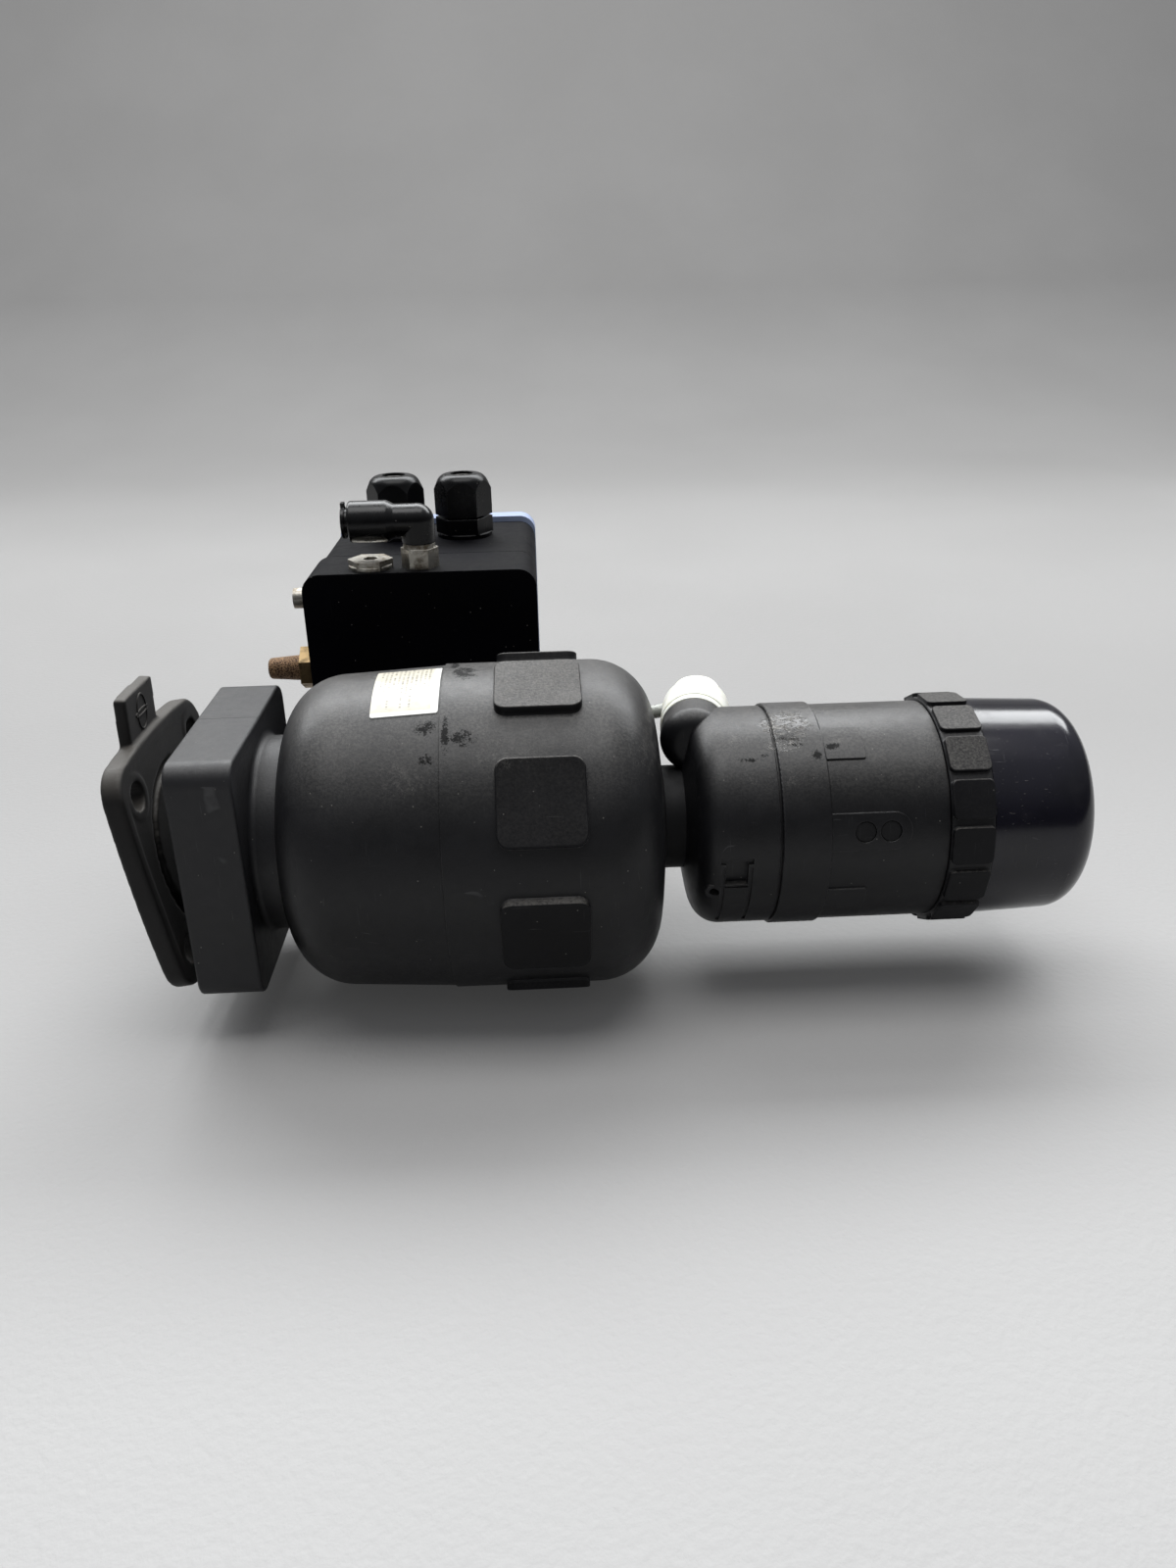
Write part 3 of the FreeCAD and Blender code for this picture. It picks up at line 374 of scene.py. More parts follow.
def glossy_cap():
    """Polished dark plastic with a violet tint, hairline scratches and a few dull fingerprints."""
    graph = Graph("cap_plastic", {"Specular IOR Level": 0.40, "IOR": 1.5})
    cloud = graph.noise(30.0, 5.0)
    dark = rgb(0.0030, 0.0028, 0.0060)
    violet = rgb(0.0055, 0.0050, 0.0105)
    paint = graph.mix(graph.step(cloud, 0.35, 0.7), dark, violet)
    lines = add_scratches(graph, 0.6)
    strokes = graph.noise(1.0, 2.0, 0.5, graph.stretched((420, 2600, 2600), (0, 0.4, 0.9)))
    nicks = graph.times(graph.step(strokes, 0.71, 0.74), graph.step(cloud, 0.42, 0.55))
    prints = graph.step(graph.noise(48.0, 7.0, 0.7), 0.5, 0.72)
    paint = graph.mix(graph.times(lines, 0.35), paint, SCUFF)
    paint = graph.mix(graph.times(nicks, 0.5), paint, DUST)
    paint = graph.mix(graph.times(prints, 0.03), paint, DUST)
    sheen = graph.maths("ADD", graph.step(prints, 0.0, 1.0, 0.17, 0.25), graph.times(lines, 0.25))
    relief = graph.bump(lines, 0.00002)
    relief = graph.bump(graph.noise(60.0, 2.0), 0.00003, relief)
    return graph.finish(paint, sheen, relief)


def window_glass():
    """Smoked display window with faint wiping marks."""
    graph = Graph("window_glass", {"Specular IOR Level": 0.5, "Coat Weight": 0.5})
    wipes = graph.step(graph.noise(1.0, 4.0, 0.6, graph.stretched((25, 400, 90))), 0.42, 0.7)
    paint = graph.mix(wipes, rgb(0.006, 0.007, 0.008), rgb(0.012, 0.013, 0.014))
    return graph.finish(paint, graph.step(wipes, 0.0, 1.0, 0.10, 0.24), graph.bump(wipes, 0.00001))


def satin_blue():
    graph = Graph("blue_plastic", {"Specular IOR Level": 0.4, "IOR": 1.5})
    cloud = graph.noise(28.0, 5.0, 0.6)
    paint = graph.mix(graph.step(cloud, 0.3, 0.7), rgb(0.215, 0.265, 0.40), rgb(0.26, 0.31, 0.45))
    grime = graph.step(graph.noise(110.0, 8.0, 0.72), 0.5, 0.75, 0.0, 0.3)
    soft = graph.softened(0.0005)
    rubbed = graph.times(graph.edges(soft), 0.35)
    paint = graph.mix(grime, paint, rgb(0.12, 0.13, 0.17))
    paint = graph.mix(rubbed, paint, rgb(0.42, 0.47, 0.60))
    sheen = graph.step(cloud, 0.3, 0.7, 0.38, 0.5)
    relief = graph.bump(graph.noise(1700.0, 2.0), 0.00003, soft)
    return graph.finish(paint, sheen, relief)


def waxy_white():
    """Milky polyamide that lets some light in, yellowed a little, with grime in patches."""
    graph = Graph("white_plastic",
                  {"Specular IOR Level": 0.45, "Subsurface Weight": 0.35, "Subsurface Scale": 0.003})
    graph.shader.inputs["Subsurface Radius"].default_value = (1.0, 0.9, 0.7)
    cloud = graph.noise(90.0, 5.0, 0.6)
    paint = graph.mix(graph.step(cloud, 0.3, 0.7), rgb(0.66, 0.66, 0.56), rgb(0.76, 0.75, 0.68))
    grime = graph.step(graph.noise(210.0, 8.0, 0.75), 0.54, 0.8, 0.0, 0.5)
    paint = graph.mix(grime, paint, rgb(0.28, 0.25, 0.18))
    soft = graph.softened(0.0005)
    sheen = graph.step(cloud, 0.3, 0.7, 0.34, 0.48)
    return graph.finish(paint, sheen, graph.bump(graph.noise(900.0, 3.0), 0.00004, soft))


def clear_tube():
    graph = Graph("tube_plastic", {"Specular IOR Level": 0.5, "Transmission Weight": 0.35, "IOR": 1.49})
    cloud = graph.noise(120.0, 4.0)
    paint = graph.mix(graph.step(cloud, 0.3, 0.7), rgb(0.40, 0.42, 0.38), rgb(0.55, 0.56, 0.52))
    grime = graph.step(graph.noise(330.0, 7.0, 0.7), 0.5, 0.75, 0.0, 0.4)
    paint = graph.mix(grime, paint, rgb(0.16, 0.14, 0.11))
    sheen = graph.step(cloud, 0.3, 0.7, 0.2, 0.34)
    return graph.finish(paint, sheen, graph.bump(graph.noise(600.0, 2.0), 0.00003))


def label_print():
    """Cream film with rows of short dashes that stand for print, and a white margin at two edges."""
    graph = Graph("label_film", {"Specular IOR Level": 0.45, "Coat Weight": 0.2, "Coat Roughness": 0.25})
    x, y, z = graph.split(graph.place)
    across = graph.maths("DIVIDE", graph.maths("SUBTRACT", x, label_x[0]), label_x[1] - label_x[0])
    angle = graph.maths("ARCTAN2", z, graph.times(y, -1.0))
    turned = graph.times(graph.maths("SUBTRACT", angle, label_angle), casing_r / label_height)
    up = graph.maths("ADD", turned, 0.5)

    rows = 15.0
    words = 34.0
    row = graph.times(across, rows)
    in_row = graph.step(graph.maths("PINGPONG", row, 0.5), 0.22, 0.30)
    slot = graph.join(graph.maths("FLOOR", row), graph.times(up, words), 0.0)
    letters = graph.step(graph.noise(2.6, 1.0, 0.5, slot), 0.47, 0.55)
    line_end = graph.noise(0.9, 0.0, 0.5, graph.join(graph.maths("FLOOR", row), 3.7, 0.0))
    inside = graph.times(graph.step(up, 0.10, 0.13), graph.step(across, 0.87, 0.84),
                         graph.step(across, 0.07, 0.10))
    ended = graph.step(graph.maths("SUBTRACT", up, graph.step(line_end, 0.4, 0.6, 0.1, 0.45)), 0.0, 0.02)
    dashes = graph.times(in_row, letters, graph.times(inside, ended))

    yellow = graph.step(graph.noise(160.0, 6.0, 0.65), 0.35, 0.7)
    film = graph.mix(yellow, rgb(0.52, 0.495, 0.42), rgb(0.44, 0.405, 0.31))
    margin = graph.maths("MAXIMUM", graph.step(across, 0.88, 0.91), graph.step(up, 0.07, 0.05))
    paint = graph.mix(margin, film, rgb(0.62, 0.62, 0.59))
    paint = graph.mix(graph.times(dashes, 0.8), paint, rgb(0.07, 0.065, 0.05))
    stain = graph.step(graph.noise(420.0, 8.0, 0.75), 0.56, 0.75, 0.0, 0.45)
    paint = graph.mix(stain, paint, rgb(0.30, 0.25, 0.16))
    sheen = graph.step(yellow, 0.0, 1.0, 0.35, 0.5)
    return graph.finish(paint, sheen, graph.bump(graph.noise(300.0, 4.0), 0.00003))


# ---------------------------------------------------------------- rubber
def rubber(name, dark, pale, roughness, specular, bloom):
    """Matte rubber with a pale bloom, dust on what faces up and a faint mould texture."""
    graph = Graph(name, {"Specular IOR Level": specular, "Sheen Weight": 0.05})
    cloud = graph.noise(36.0, 6.0, 0.65)
    paint = graph.mix(graph.step(cloud, 0.3, 0.72), dark, pale)
    haze = graph.step(graph.noise(120.0, 8.0, 0.72), 0.46, 0.78, 0.0, bloom)
    paint = graph.mix(haze, paint, tuple(2.4 * c for c in pale[:3]) + (1.0,))
    up = graph.times(graph.step(graph.split(graph.facing)[2], 0.2, 0.95), 0.3)
    paint = graph.mix(up, paint, rgb(0.17, 0.155, 0.135))
    pits = graph.step(graph.cells(900.0), 0.25, 0.1)
    sheen = graph.step(cloud, 0.3, 0.7, roughness - 0.06, roughness + 0.08)
    relief = graph.bump(graph.noise(1400.0, 3.0), 0.00004)
    relief = graph.bump(pits, -0.00004, relief)
    return graph.finish(paint, sheen, relief)


# ---------------------------------------------------------------- metals
def metal(name, colour, stain, roughness, stained, turned=(1, 1, 1), pitted=0.0):
    """Bare or plated metal: tool marks along one direction, stains in patches, bright rubbed edges."""
    graph = Graph(name, {"Metallic": 1.0, "Specular IOR Level": 0.5})
    cloud = graph.noise(170.0, 7.0, 0.7)
    dirt = graph.step(cloud, 0.42, 0.68, 0.0, stained)
    soft = graph.softened(0.0003)
    edge = graph.edges(soft)
    bright = tuple(min(1.0, 1.25 * c) for c in colour[:3]) + (1.0,)
    paint = graph.mix(dirt, colour, stain)
    paint = graph.mix(graph.times(edge, 0.6), paint, bright)
    lines_per_metre = 700.0
    lines = graph.noise(1.0, 2.0, 0.6, graph.stretched(tuple(lines_per_metre * t for t in turned)))
    sheen = graph.maths("ADD", graph.step(lines, 0.3, 0.7, roughness - 0.08, roughness + 0.08),
                        graph.times(dirt, 0.35))
    relief = graph.bump(lines, 0.00002, soft)
    if pitted:
        relief = graph.bump(graph.step(graph.cells(1300.0), 0.1, 0.6), pitted, relief)
    return graph.finish(paint, sheen, relief)


def sintered_bronze():
    """Porous bronze: packed small balls with dark gaps."""
    graph = Graph("bronze", {"Metallic": 0.75, "Specular IOR Level": 0.4})
    grains = graph.cells(1900.0)
    patch = graph.noise(240.0, 6.0, 0.7)
    paint = graph.mix(graph.step(patch, 0.35, 0.7), rgb(0.30, 0.185, 0.10), rgb(0.19, 0.12, 0.07))
    paint = graph.mix(graph.step(grains, 0.35, 0.75), paint, rgb(0.05, 0.03, 0.02))
    relief = graph.bump(graph.step(grains, 0.7, 0.0), 0.00025)
    return graph.finish(paint, graph.step(patch, 0.3, 0.7, 0.55, 0.75), relief)


def solder_mask():
    """A circuit board's green lacquer over thin copper tracks."""
    graph = Graph("board", {"Specular IOR Level": 0.5, "Coat Weight": 0.4, "Coat Roughness": 0.15})
    stripes = graph.step(graph.noise(1.0, 0.0, 0.5, graph.stretched((900, 900, 35))), 0.5, 0.56)
    paint = graph.mix(stripes, rgb(0.01, 0.09, 0.03), rgb(0.03, 0.17, 0.06))
    return graph.finish(paint, graph.step(stripes, 0.0, 1.0, 0.3, 0.42), graph.bump(stripes, 0.00005))


# ---------------------------------------------------------------- finishes of the CAD nodes
def places(*rows):
    """(centre, size) in metres from rows of six numbers in millimetres."""
    return [(millimetres(*row[:3]), millimetres(*row[3:])) for row in rows]


CASING_MARKS = {
    "grease": places((106.0, -1.0, 65.2, 6.0, 11.0, 3.0), (101.5, 12, 64, 2.5, 11, 6),
                     (99.6, -37.5, 53.2, 1.7, 11.0, 10.0), (105.8, -38.5, 52.6, 5.5, 4.2, 4.5),
                     (92.5, -33.5, 54.4, 5.0, 3.6, 4.0), (93.0, -43.5, 46.0, 4.2, 3.0, 3.5)),
    "dusty": places((120, -45, 47, 16, 10, 10), (84, -47, 41, 14, 9, 9), (176, -30, 46, 12, 26, 16)),
}
HEAD_MARKS = {
    "wet": places((229, -12.5, 43.4, 10.5, 12.0, 6.0), (226.5, -22.5, 39.2, 7.0, 4.0, 4.0)),
    "grease": places((244.5, -23.5, 38.0, 4.0, 1.8, 2.2), (238.0, -27.0, 35.6, 3.2, 2.6, 3.0),
                     (230.8, -22.6, 39.0, 4.5, 1.5, 2.0), (212.5, -26.5, 34.9, 5.5, 1.5, 1.8),
                     (218.0, -25.4, 36.0, 3.0, 1.0, 1.2)),
    "dusty": places((228.5, -34.5, 29.0, 5.5, 4.5, 5.5), (207.0, -17.5, 40.0, 7.5, 5.0, 4.0),
                    (213, -32.0, 30.0, 4.0, 4.5, 5.0), (246, -21.5, 38.8, 8.0, 2.4, 2.4)),
}


def make_finishes():
    black = rgb(0.0036, 0.0036, 0.0044)
    return {
        "casing": moulded("casing_plastic", black, 0.43, dust=0.34, wear=0.4, specular=0.34,
                          marks=CASING_MARKS, pads_r=casing_pads_r),
        "flange": moulded("flange_plastic", rgb(0.0060, 0.0060, 0.0072), 0.50, dust=0.12, wear=0.4,
                          parting=parting_y),
        "head": moulded("head_plastic", black, 0.41, dust=0.3, wear=0.4, specular=0.34, marks=HEAD_MARKS),
        "ring": moulded("ring_plastic", rgb(0.0038, 0.0038, 0.0046), 0.43, wear=0.5, specular=0.32,
                        pads_r=ring_pads_r),
        "box": moulded("box_plastic", rgb(0.0004, 0.0004, 0.0014), 0.6, dust=0.01, wear=0.2,
                       scratched=0.05, specular=0.05),
        "gland": moulded("gland_plastic", rgb(0.0008, 0.0008, 0.0013), 0.32, grain=0.00001, dust=0.01,
                         wear=0.3, specular=0.16),
        "elbow": moulded("elbow_plastic", rgb(0.0014, 0.0014, 0.0018), 0.28, grain=0.00001, dust=0.02,
                         wear=0.25, specular=0.28),
        "plug": moulded("plug_plastic", rgb(0.004, 0.004, 0.0045), 0.6, dust=0.0, wear=0.2, specular=0.25),
        "cap": glossy_cap(),
        "glass": window_glass(),
        "blue": satin_blue(),
        "white": waxy_white(),
        "tube": clear_tube(),
        "label": label_print(),
        "diaphragm": rubber("diaphragm_rubber", rgb(0.0022, 0.0019, 0.0019), rgb(0.0052, 0.0045, 0.0043),
                            0.56, specular=0.24, bloom=0.2),
        "seal": rubber("seal_rubber", rgb(0.008, 0.008, 0.008), rgb(0.014, 0.014, 0.014),
                       0.55, specular=0.3, bloom=0.2),
        "nickel": metal("nickel", rgb(0.36, 0.345, 0.31), rgb(0.10, 0.072, 0.04), 0.34, 0.85,
                        pitted=0.00003),
        "brass": metal("brass", rgb(0.27, 0.19, 0.095), rgb(0.07, 0.05, 0.028), 0.40, 0.8),
        "bronze": sintered_bronze(),
        "steel": metal("steel", rgb(0.50, 0.50, 0.50), rgb(0.25, 0.22, 0.19), 0.28, 0.3, (0.1, 3, 3)),
        "spring": metal("spring_steel", rgb(0.30, 0.30, 0.31), rgb(0.12, 0.10, 0.09), 0.36, 0.4, (3, 1, 1)),
        "aluminium": metal("aluminium", rgb(0.58, 0.58, 0.59), rgb(0.34, 0.33, 0.31), 0.48, 0.4,
                           pitted=0.00005),
        "board": solder_mask(),
    }


FINISH_OF = {
    "casing": ("barrel_lower", "barrel_cover", "piston", "compressor"),
    "flange": ("bonnet_flange",),
    "head": ("head_base", "head_shell", "head_band"),
    "ring": ("grip_ring",),
    "box": ("port_block", "electronics_housing"),
    "gland": ("gland_bodies", "gland_nut_left", "gland_nut_right"),
    "elbow": ("elbow_body", "elbow_collet"),
    "cap": ("head_cap",),
    "blue": ("rear_cover",),
    "white": ("head_elbow", "head_elbow_nut", "piston_guide", "pilot_valve", "terminal_block"),
    "tube": ("link_tube",),
    "label": ("type_label",),
    "diaphragm": ("diaphragm",),
    # The neck ring takes the darker plug finish instead of the seal rubber: painted shade, as the neck sits
    # in shadow.
    "plug": ("window_plugs", "neck_ring"),
    "seal": ("stem_seal", "barrel_seal", "piston_seal", "base_seal", "cap_seal", "block_gasket",
             "cover_gasket", "gland_inserts"),
    "nickel": ("elbow_base", "port_plug", "vent_bolt", "box_tube_fitting"),
    "brass": ("thread_inserts", "stem_bush", "neck_nipple", "silencer_hex"),
    "bronze": ("silencer_core",),
    "steel": ("bonnet_bolts", "diaphragm_pin", "stem", "piston_nut", "feedback_rod", "housing_screws",
              "cover_screws", "saddle_screws"),
    "spring": ("closing_spring",),
    "aluminium": ("position_sensor", "valve_block", "mounting_saddle"),
    "board": ("sensor_board", "circuit_board"),
}


def give(piece, material):
    piece.data.materials.clear()
    piece.data.materials.append(material)


def finish_nodes(finishes):
    for finish, names in FINISH_OF.items():
        for name in names:
            give(nodes[name], finishes[finish])


# ---------------------------------------------------------------- pieces beyond the CAD
def add_piece(name, mesh, material, body):
    piece = bpy.data.objects.new(name, mesh)
    bpy.context.collection.objects.link(piece)
    give(piece, material)
    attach(piece, body)
    return piece


def hanging():
    """The matrix from the diaphragm's own frame to where it hangs."""
    axis = Vector((0, math.cos(diaphragm_lean), math.sin(diaphragm_lean)))
    turn = Matrix.Translation(diaphragm_pivot) @ Matrix.Rotation(diaphragm_tilt, 4, axis)
    turn = turn @ Matrix.Translation(-diaphragm_pivot)
    return turn @ Matrix.Translation((diaphragm_face, 0, 0))


def smooth_step(value, low, high):
    share = min(1.0, max(0.0, (value - low) / (high - low)))
    return share * share * (3 - 2 * share)


def from_rim(y, z):
    """How far inside the diaphragm's bowed outline a point lies."""
    reach_y = diaphragm_half + diaphragm_bow * (1 - (z / diaphragm_half) ** 2)
    reach_z = diaphragm_half + diaphragm_bow * (1 - (y / diaphragm_half) ** 2)
    inside_y = reach_y - abs(y)
    inside_z = reach_z - abs(z)
    nearer = min(inside_y, inside_z)
    corner_r = diaphragm_corner_r
    if inside_y < corner_r and inside_z < corner_r:
        nearer = min(nearer, corner_r - math.hypot(corner_r - inside_y, corner_r - inside_z))
    return nearer


def shape_diaphragm(place):
    """Moves one point of the plain plate: a sunk field, a raised rim and raised eyes at the bolt holes."""
    x, y, z = place
    if z > diaphragm_half + diaphragm_bow:
        return place
    rim = smooth_step(from_rim(y, z), *rim_slope)
    hole_places = (-bolt_place, bolt_place)
    eye = min(math.hypot(y - hole_y, z - hole_z) for hole_y in hole_places for hole_z in hole_places)
    field = rim * smooth_step(eye, *eye_slope)
    front = smooth_step(x, *face_layer)
    sag = sag_depth * math.sin(y * 95) * math.sin(z * 70 + 0.6)
    return Vector((x - field * front * field_depth - abs(sag) * front, y + sag * 0.5, z))


def make_rubber_diaphragm(material):
    """The hanging diaphragm: the CAD plate as soft moulded rubber."""
    draft = bpy.data.objects.new("diaphragm_draft", nodes["diaphragm"].data.copy())
    bpy.context.collection.objects.link(draft)
    remesh = draft.modifiers.new("remesh", "REMESH")
    remesh.mode = "VOXEL"
    remesh.voxel_size = voxel
    smooth = draft.modifiers.new("smooth", "SMOOTH")
    smooth.factor = 0.5
    smooth.iterations = 3
    ready = draft.evaluated_get(bpy.context.evaluated_depsgraph_get())
    mesh = bpy.data.meshes.new_from_object(ready)
    bpy.data.objects.remove(draft)
    there = hanging()
    back = there.inverted()
    for vertex in mesh.vertices:
        vertex.co = there @ shape_diaphragm(back @ vertex.co)
    mesh.shade_smooth()
    piece = add_piece("rubber_diaphragm", mesh, material, "hanging_diaphragm")
    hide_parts("diaphragm")


def sweep_ring(path, radius, around=10):
    """Points and faces of a closed round bead along a loop of points in the y-z plane."""
    points = []
    faces = []
    count = len(path)
    for k, (y, z) in enumerate(path):
        before, after = path[k - 1], path[(k + 1) % count]
        run = Vector((0, after[0] - before[0], after[1] - before[1])).normalized()
        side = Vector((0, -run.z, run.y))
        for j in range(around):
            angle = 2 * math.pi * j / around
            outward = Vector((0, y, z)) + side * radius * math.cos(angle)
            points.append(outward + Vector((radius * math.sin(angle), 0, 0)))
            a, b = k * around + j, k * around + (j + 1) % around
            c, d = (b + around) % (count * around), (a + around) % (count * around)
            faces.append((a, b, c, d))
    return points, faces


def ellipse(half_y, half_z):
    steps = 48
    angles = [2 * math.pi * k / steps for k in range(steps)]
    return [(half_y * math.cos(angle), half_z * math.sin(angle)) for angle in angles]


def make_tab_mark(material):
    """A plain raised oval with a bar across it, moulded on the tab."""
    lean = Matrix.Translation(tab_hinge) @ Matrix.Rotation(tab_lean, 4, "Y")
    lean = lean @ Matrix.Translation(-tab_hinge)
    there = hanging() @ lean @ Matrix.Translation(mark_centre)
    for name, half in (("tab_oval", oval_half), ("tab_bar", bar_half)):
        points, faces = sweep_ring(ellipse(*half), bead_r)
        mesh = bpy.data.meshes.new(name)
        mesh.from_pydata([there @ point for point in points], [], faces)
        mesh.shade_smooth()
        add_piece(name, mesh, material, "hanging_diaphragm")


def rounded_plate(name, x_span, z_span, y_span, corner):
    """A flat plate across Y with rounded corners."""
    loop = []
    steps = 8
    x_low, x_high = x_span
    z_low, z_high = z_span
    for centre_x, centre_z, start in ((x_high - corner, z_high - corner, 0),
                                      (x_low + corner, z_high - corner, 1),
                                      (x_low + corner, z_low + corner, 2),
                                      (x_high - corner, z_low + corner, 3)):
        for k in range(steps + 1):
            angle = math.pi / 2 * (start + k / steps)
            loop.append((centre_x + corner * math.cos(angle), centre_z + corner * math.sin(angle)))
    count = len(loop)
    points = [(x, y, z) for y in y_span for x, z in loop]
    faces = [tuple(range(count)), tuple(range(2 * count - 1, count - 1, -1))]
    for k in range(count):
        after = (k + 1) % count
        faces.append((k, after, count + after, count + k))
    mesh = bpy.data.meshes.new(name)
    mesh.from_pydata(points, [], faces)
    mesh.update()
    return mesh


def below_cover(layer):
    """The y of a layer's two faces under the cover's back."""
    return tuple(cover_back - depth for depth in layer)


def make_rear_panel(finishes):
    """The rear cover's sunk panel: a display window over four keys."""
    back = rounded_plate("rear_panel", panel_x, panel_z, below_cover(panel_layer), panel_corner_r)
    add_piece("rear_panel", back, finishes["box"], "housing")
    window_x = (panel_x[0] + window_inset, panel_x[1] - window_inset)
    window = rounded_plate("display_window", window_x, window_z, below_cover(window_layer), window_corner_r)
    add_piece("display_window", window, finishes["glass"], "housing")
    for k, middle in enumerate(key_x):
        name = "panel_key_%d" % k
        span = (middle - key_half, middle + key_half)
        key = rounded_plate(name, span, key_z, below_cover(key_layer), key_corner_r)
        add_piece(name, key, finishes["seal"], "housing")


def ring_mesh(name, profile, there):
    """A mesh turned round the Y axis from a closed profile of (y, radius), moved by the matrix there."""
    around = 96
    count = len(profile)
    points = []
    faces = []
    for k in range(around):
        angle = 2 * math.pi * k / around
        points.extend(there @ Vector((r * math.cos(angle), y, r * math.sin(angle))) for y, r in profile)
        after = (k + 1) % around * count
        for j in range(count):
            beside = (j + 1) % count
            faces.append((k * count + j, k * count + beside, after + beside, after + j))
    mesh = bpy.data.meshes.new(name)
    mesh.from_pydata(points, [], faces)
    shape = bmesh.new()
    shape.from_mesh(mesh)
    bmesh.ops.recalc_face_normals(shape, faces=shape.faces)
    shape.to_mesh(mesh)
    shape.free()
    mesh.shade_smooth()
    mesh.set_sharp_from_angle(angle=math.radians(30))
    return mesh


def make_elbow_rings(material):
    """The white fitting's two rings that slip over the end of the head's port."""
    there = Matrix.Translation(port_centre) @ Matrix.Rotation(port_turn, 4, "Z")
    for name, (low, high, outer) in port_rings.items():
        profile = ((low, port_r), (low, outer - ring_edge), (low + ring_edge, outer),
                   (high - ring_edge, outer), (high, outer - ring_edge), (high, port_r))
        add_piece(name, ring_mesh(name, profile, there), material, "housing")


# ---------------------------------------------------------------- floor, light and camera
def make_floor():
    """A pale floor that curves up into a backdrop, painted darker towards the back as painted shade, and
    glowing faintly as painted light.
    """
    half = 3.2
    bend_start = 1.3
    bend_r = 1.4
    rise = 2.4
    profile = [(y, 0.0) for y in (-2.0, -0.4, 0.2, 0.7, bend_start)]
    steps = 24
    for k in range(1, steps + 1):
        angle = math.pi / 2 * k / steps
        profile.append((bend_start + bend_r * math.sin(angle), bend_r * (1 - math.cos(angle))))
    profile.append((bend_start + bend_r, bend_r + rise))
    points = []
    faces = []
    for k, (y, z) in enumerate(profile):
        points.append((-half, y, floor_z + z))
        points.append((half, y, floor_z + z))
        if k:
            faces.append((2 * k - 2, 2 * k - 1, 2 * k + 1, 2 * k))
    mesh = bpy.data.meshes.new("studio_floor")
    mesh.from_pydata(points, [], faces)
    mesh.shade_smooth()
    floor = bpy.data.objects.new("studio_floor", mesh)
    bpy.context.collection.objects.link(floor)
    # The floor glows faintly (Emission Strength): painted light that lifts the shadow under the object.
    graph = Graph("studio_paper", {"Specular IOR Level": 0.25, "Emission Strength": 0.035})
    cloud = graph.noise(3.0, 4.0)
    x, y, z = graph.split(graph.place)
    # Painted shade: the floor is darkened from just in front of the object to the bend, and less up the
    # backdrop.
    back_painted_shade = graph.times(graph.step(y, -0.5, 0.35), graph.step(y, 2.3, 1.2, 0.45, 1.0))
    paint = graph.mix(graph.step(cloud, 0.3, 0.7), rgb(0.355, 0.352, 0.348), rgb(0.385, 0.382, 0.378))
    paint = graph.mix(graph.times(back_painted_shade, 0.75), paint, rgb(0.145, 0.142, 0.139))
    relief = graph.bump(graph.noise(320.0, 3.0), 0.0003)
    give(floor, graph.finish(paint, graph.step(cloud, 0.3, 0.7, 0.6, 0.7), relief))


def aim(thing, place, target):
    thing.location = place
    thing.rotation_mode = "QUATERNION"
    thing.rotation_quaternion = (Vector(target) - Vector(place)).to_track_quat("-Z", "Y")


def add_light(name, place, target, width, height, power, colour=(1, 1, 1)):
    data = bpy.data.lights.new(name, "AREA")
    data.shape = "RECTANGLE"
    data.size = width
    data.size_y = height
    data.energy = power
    data.color = colour
    light = bpy.data.objects.new(name, data)
    bpy.context.collection.objects.link(light)
    aim(light, place, target)


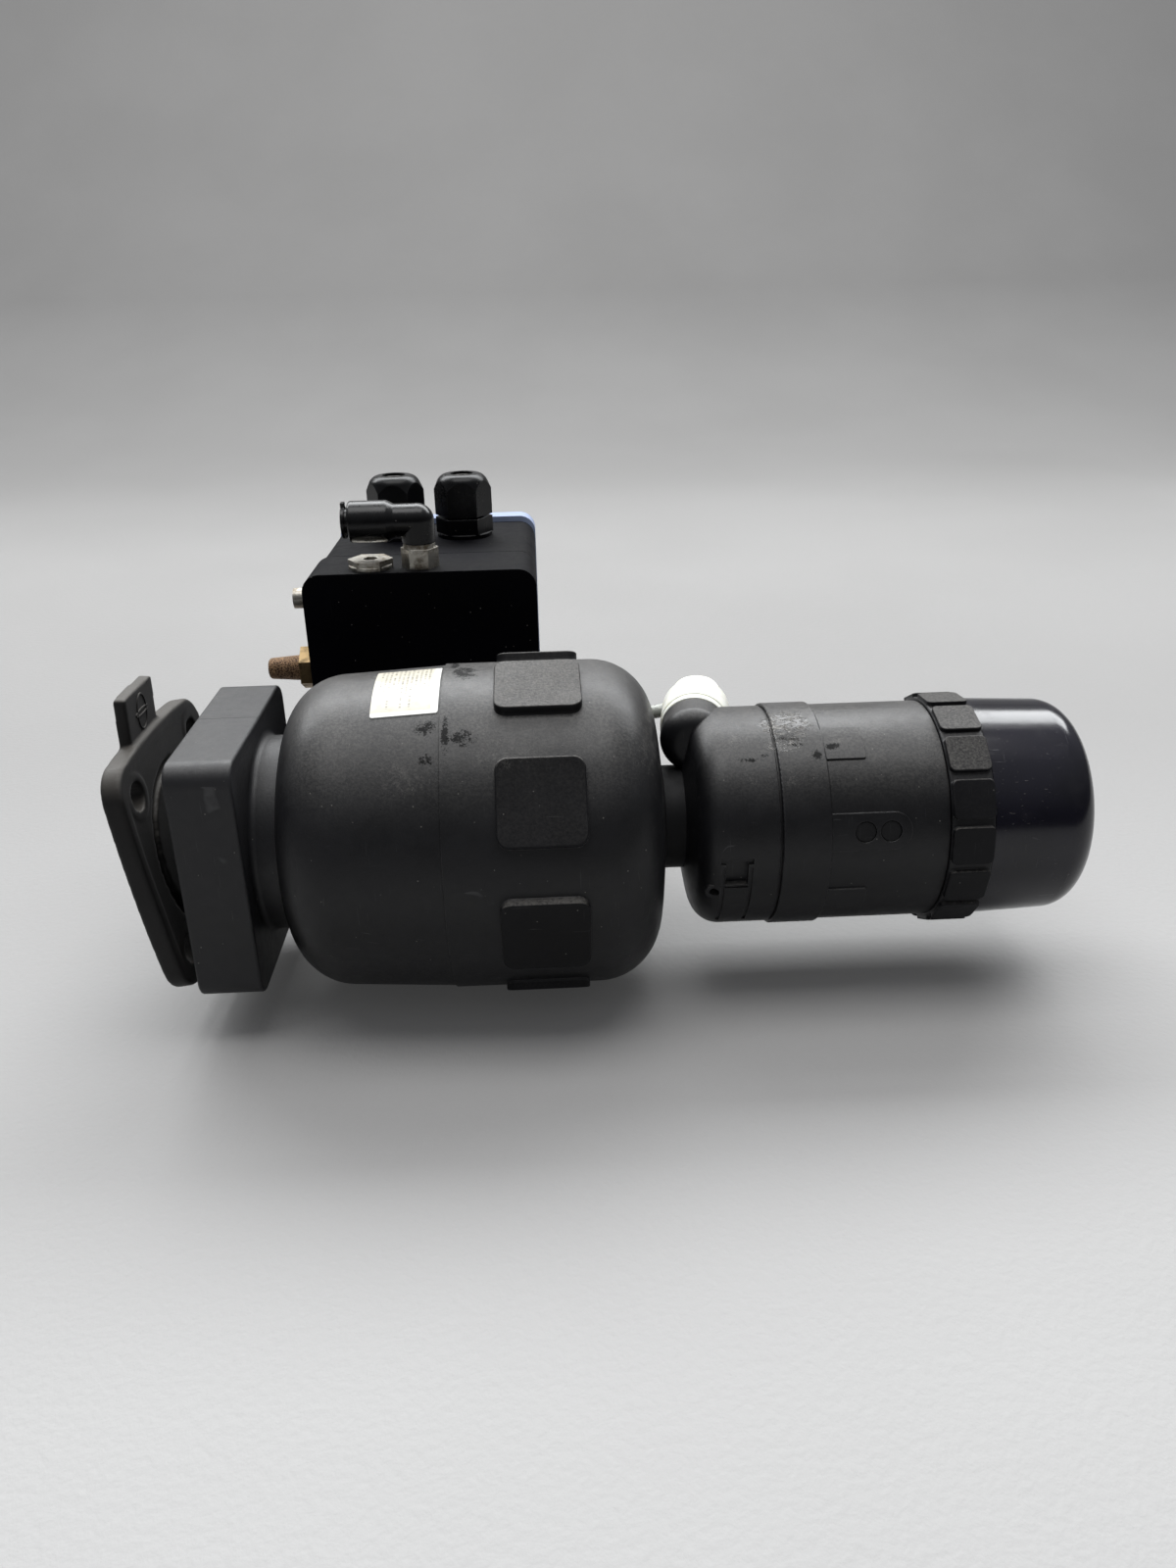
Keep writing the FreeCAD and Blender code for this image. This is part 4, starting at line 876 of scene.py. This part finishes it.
def make_world():
    """A dim room that is brighter overhead and towards the back."""
    world = bpy.data.worlds.new("studio_world")
    bpy.context.scene.world = world
    world.use_nodes = True
    tree = world.node_tree
    background = tree.nodes["Background"]
    background.inputs["Color"].default_value = (0.93, 0.95, 1.0, 1.0)
    where = tree.nodes.new("ShaderNodeTexCoord")
    slope = tree.nodes.new("ShaderNodeVectorMath")
    slope.operation = "DOT_PRODUCT"
    slope.inputs[1].default_value = (0.0, 0.17, 0.985)
    tree.links.new(where.outputs["Generated"], slope.inputs[0])
    fade = tree.nodes.new("ShaderNodeMapRange")
    fade.interpolation_type = "SMOOTHSTEP"
    fade.inputs["From Min"].default_value = -0.1
    fade.inputs["From Max"].default_value = 0.9
    fade.inputs["To Min"].default_value = 0.07
    fade.inputs["To Max"].default_value = 0.50
    tree.links.new(slope.outputs["Value"], fade.inputs["Value"])
    tree.links.new(fade.outputs["Result"], background.inputs["Strength"])


def make_light():
    middle = (0.16, 0.03, 0.0)
    add_light("sky_light", (0.16, 0.98, 1.12), middle, 3.2, 0.6, 62.0, (0.965, 0.985, 1.0))
    add_light("floor_wash", (0.1, -0.25, 2.2), (0.15, -0.85, -0.07), 2.2, 1.2, 40.0)
    add_light("back_wash", (0.1, 1.0, 2.1), (0.1, 2.6, 1.0), 2.4, 1.0, 32.0)
    make_world()
    settings = bpy.context.scene.view_settings
    settings.view_transform = "Standard"
    settings.look = "None"


def make_camera():
    forward = Vector((math.sin(camera_yaw) * math.cos(camera_pitch),
                      math.cos(camera_yaw) * math.cos(camera_pitch),
                      -math.sin(camera_pitch)))
    level = Vector((math.cos(camera_yaw), -math.sin(camera_yaw), 0))
    upright = level.cross(forward)
    right = math.cos(camera_roll) * level + math.sin(camera_roll) * upright
    up = math.cos(camera_roll) * upright - math.sin(camera_roll) * level
    data = bpy.data.cameras.new("camera")
    data.lens = camera_lens
    data.sensor_width = 36.0
    data.clip_start = 0.01
    camera = bpy.data.objects.new("camera", data)
    bpy.context.collection.objects.link(camera)
    axes = Matrix((right, up, -forward)).transposed()
    camera.matrix_world = Matrix.Translation(camera_place) @ axes.to_4x4()
    bpy.context.scene.camera = camera


# ---------------------------------------------------------------- the scene
make_camera()
finishes = make_finishes()
finish_nodes(finishes)
make_rubber_diaphragm(finishes["diaphragm"])
make_tab_mark(finishes["diaphragm"])
make_rear_panel(finishes)
make_elbow_rings(finishes["white"])
make_floor()
make_light()
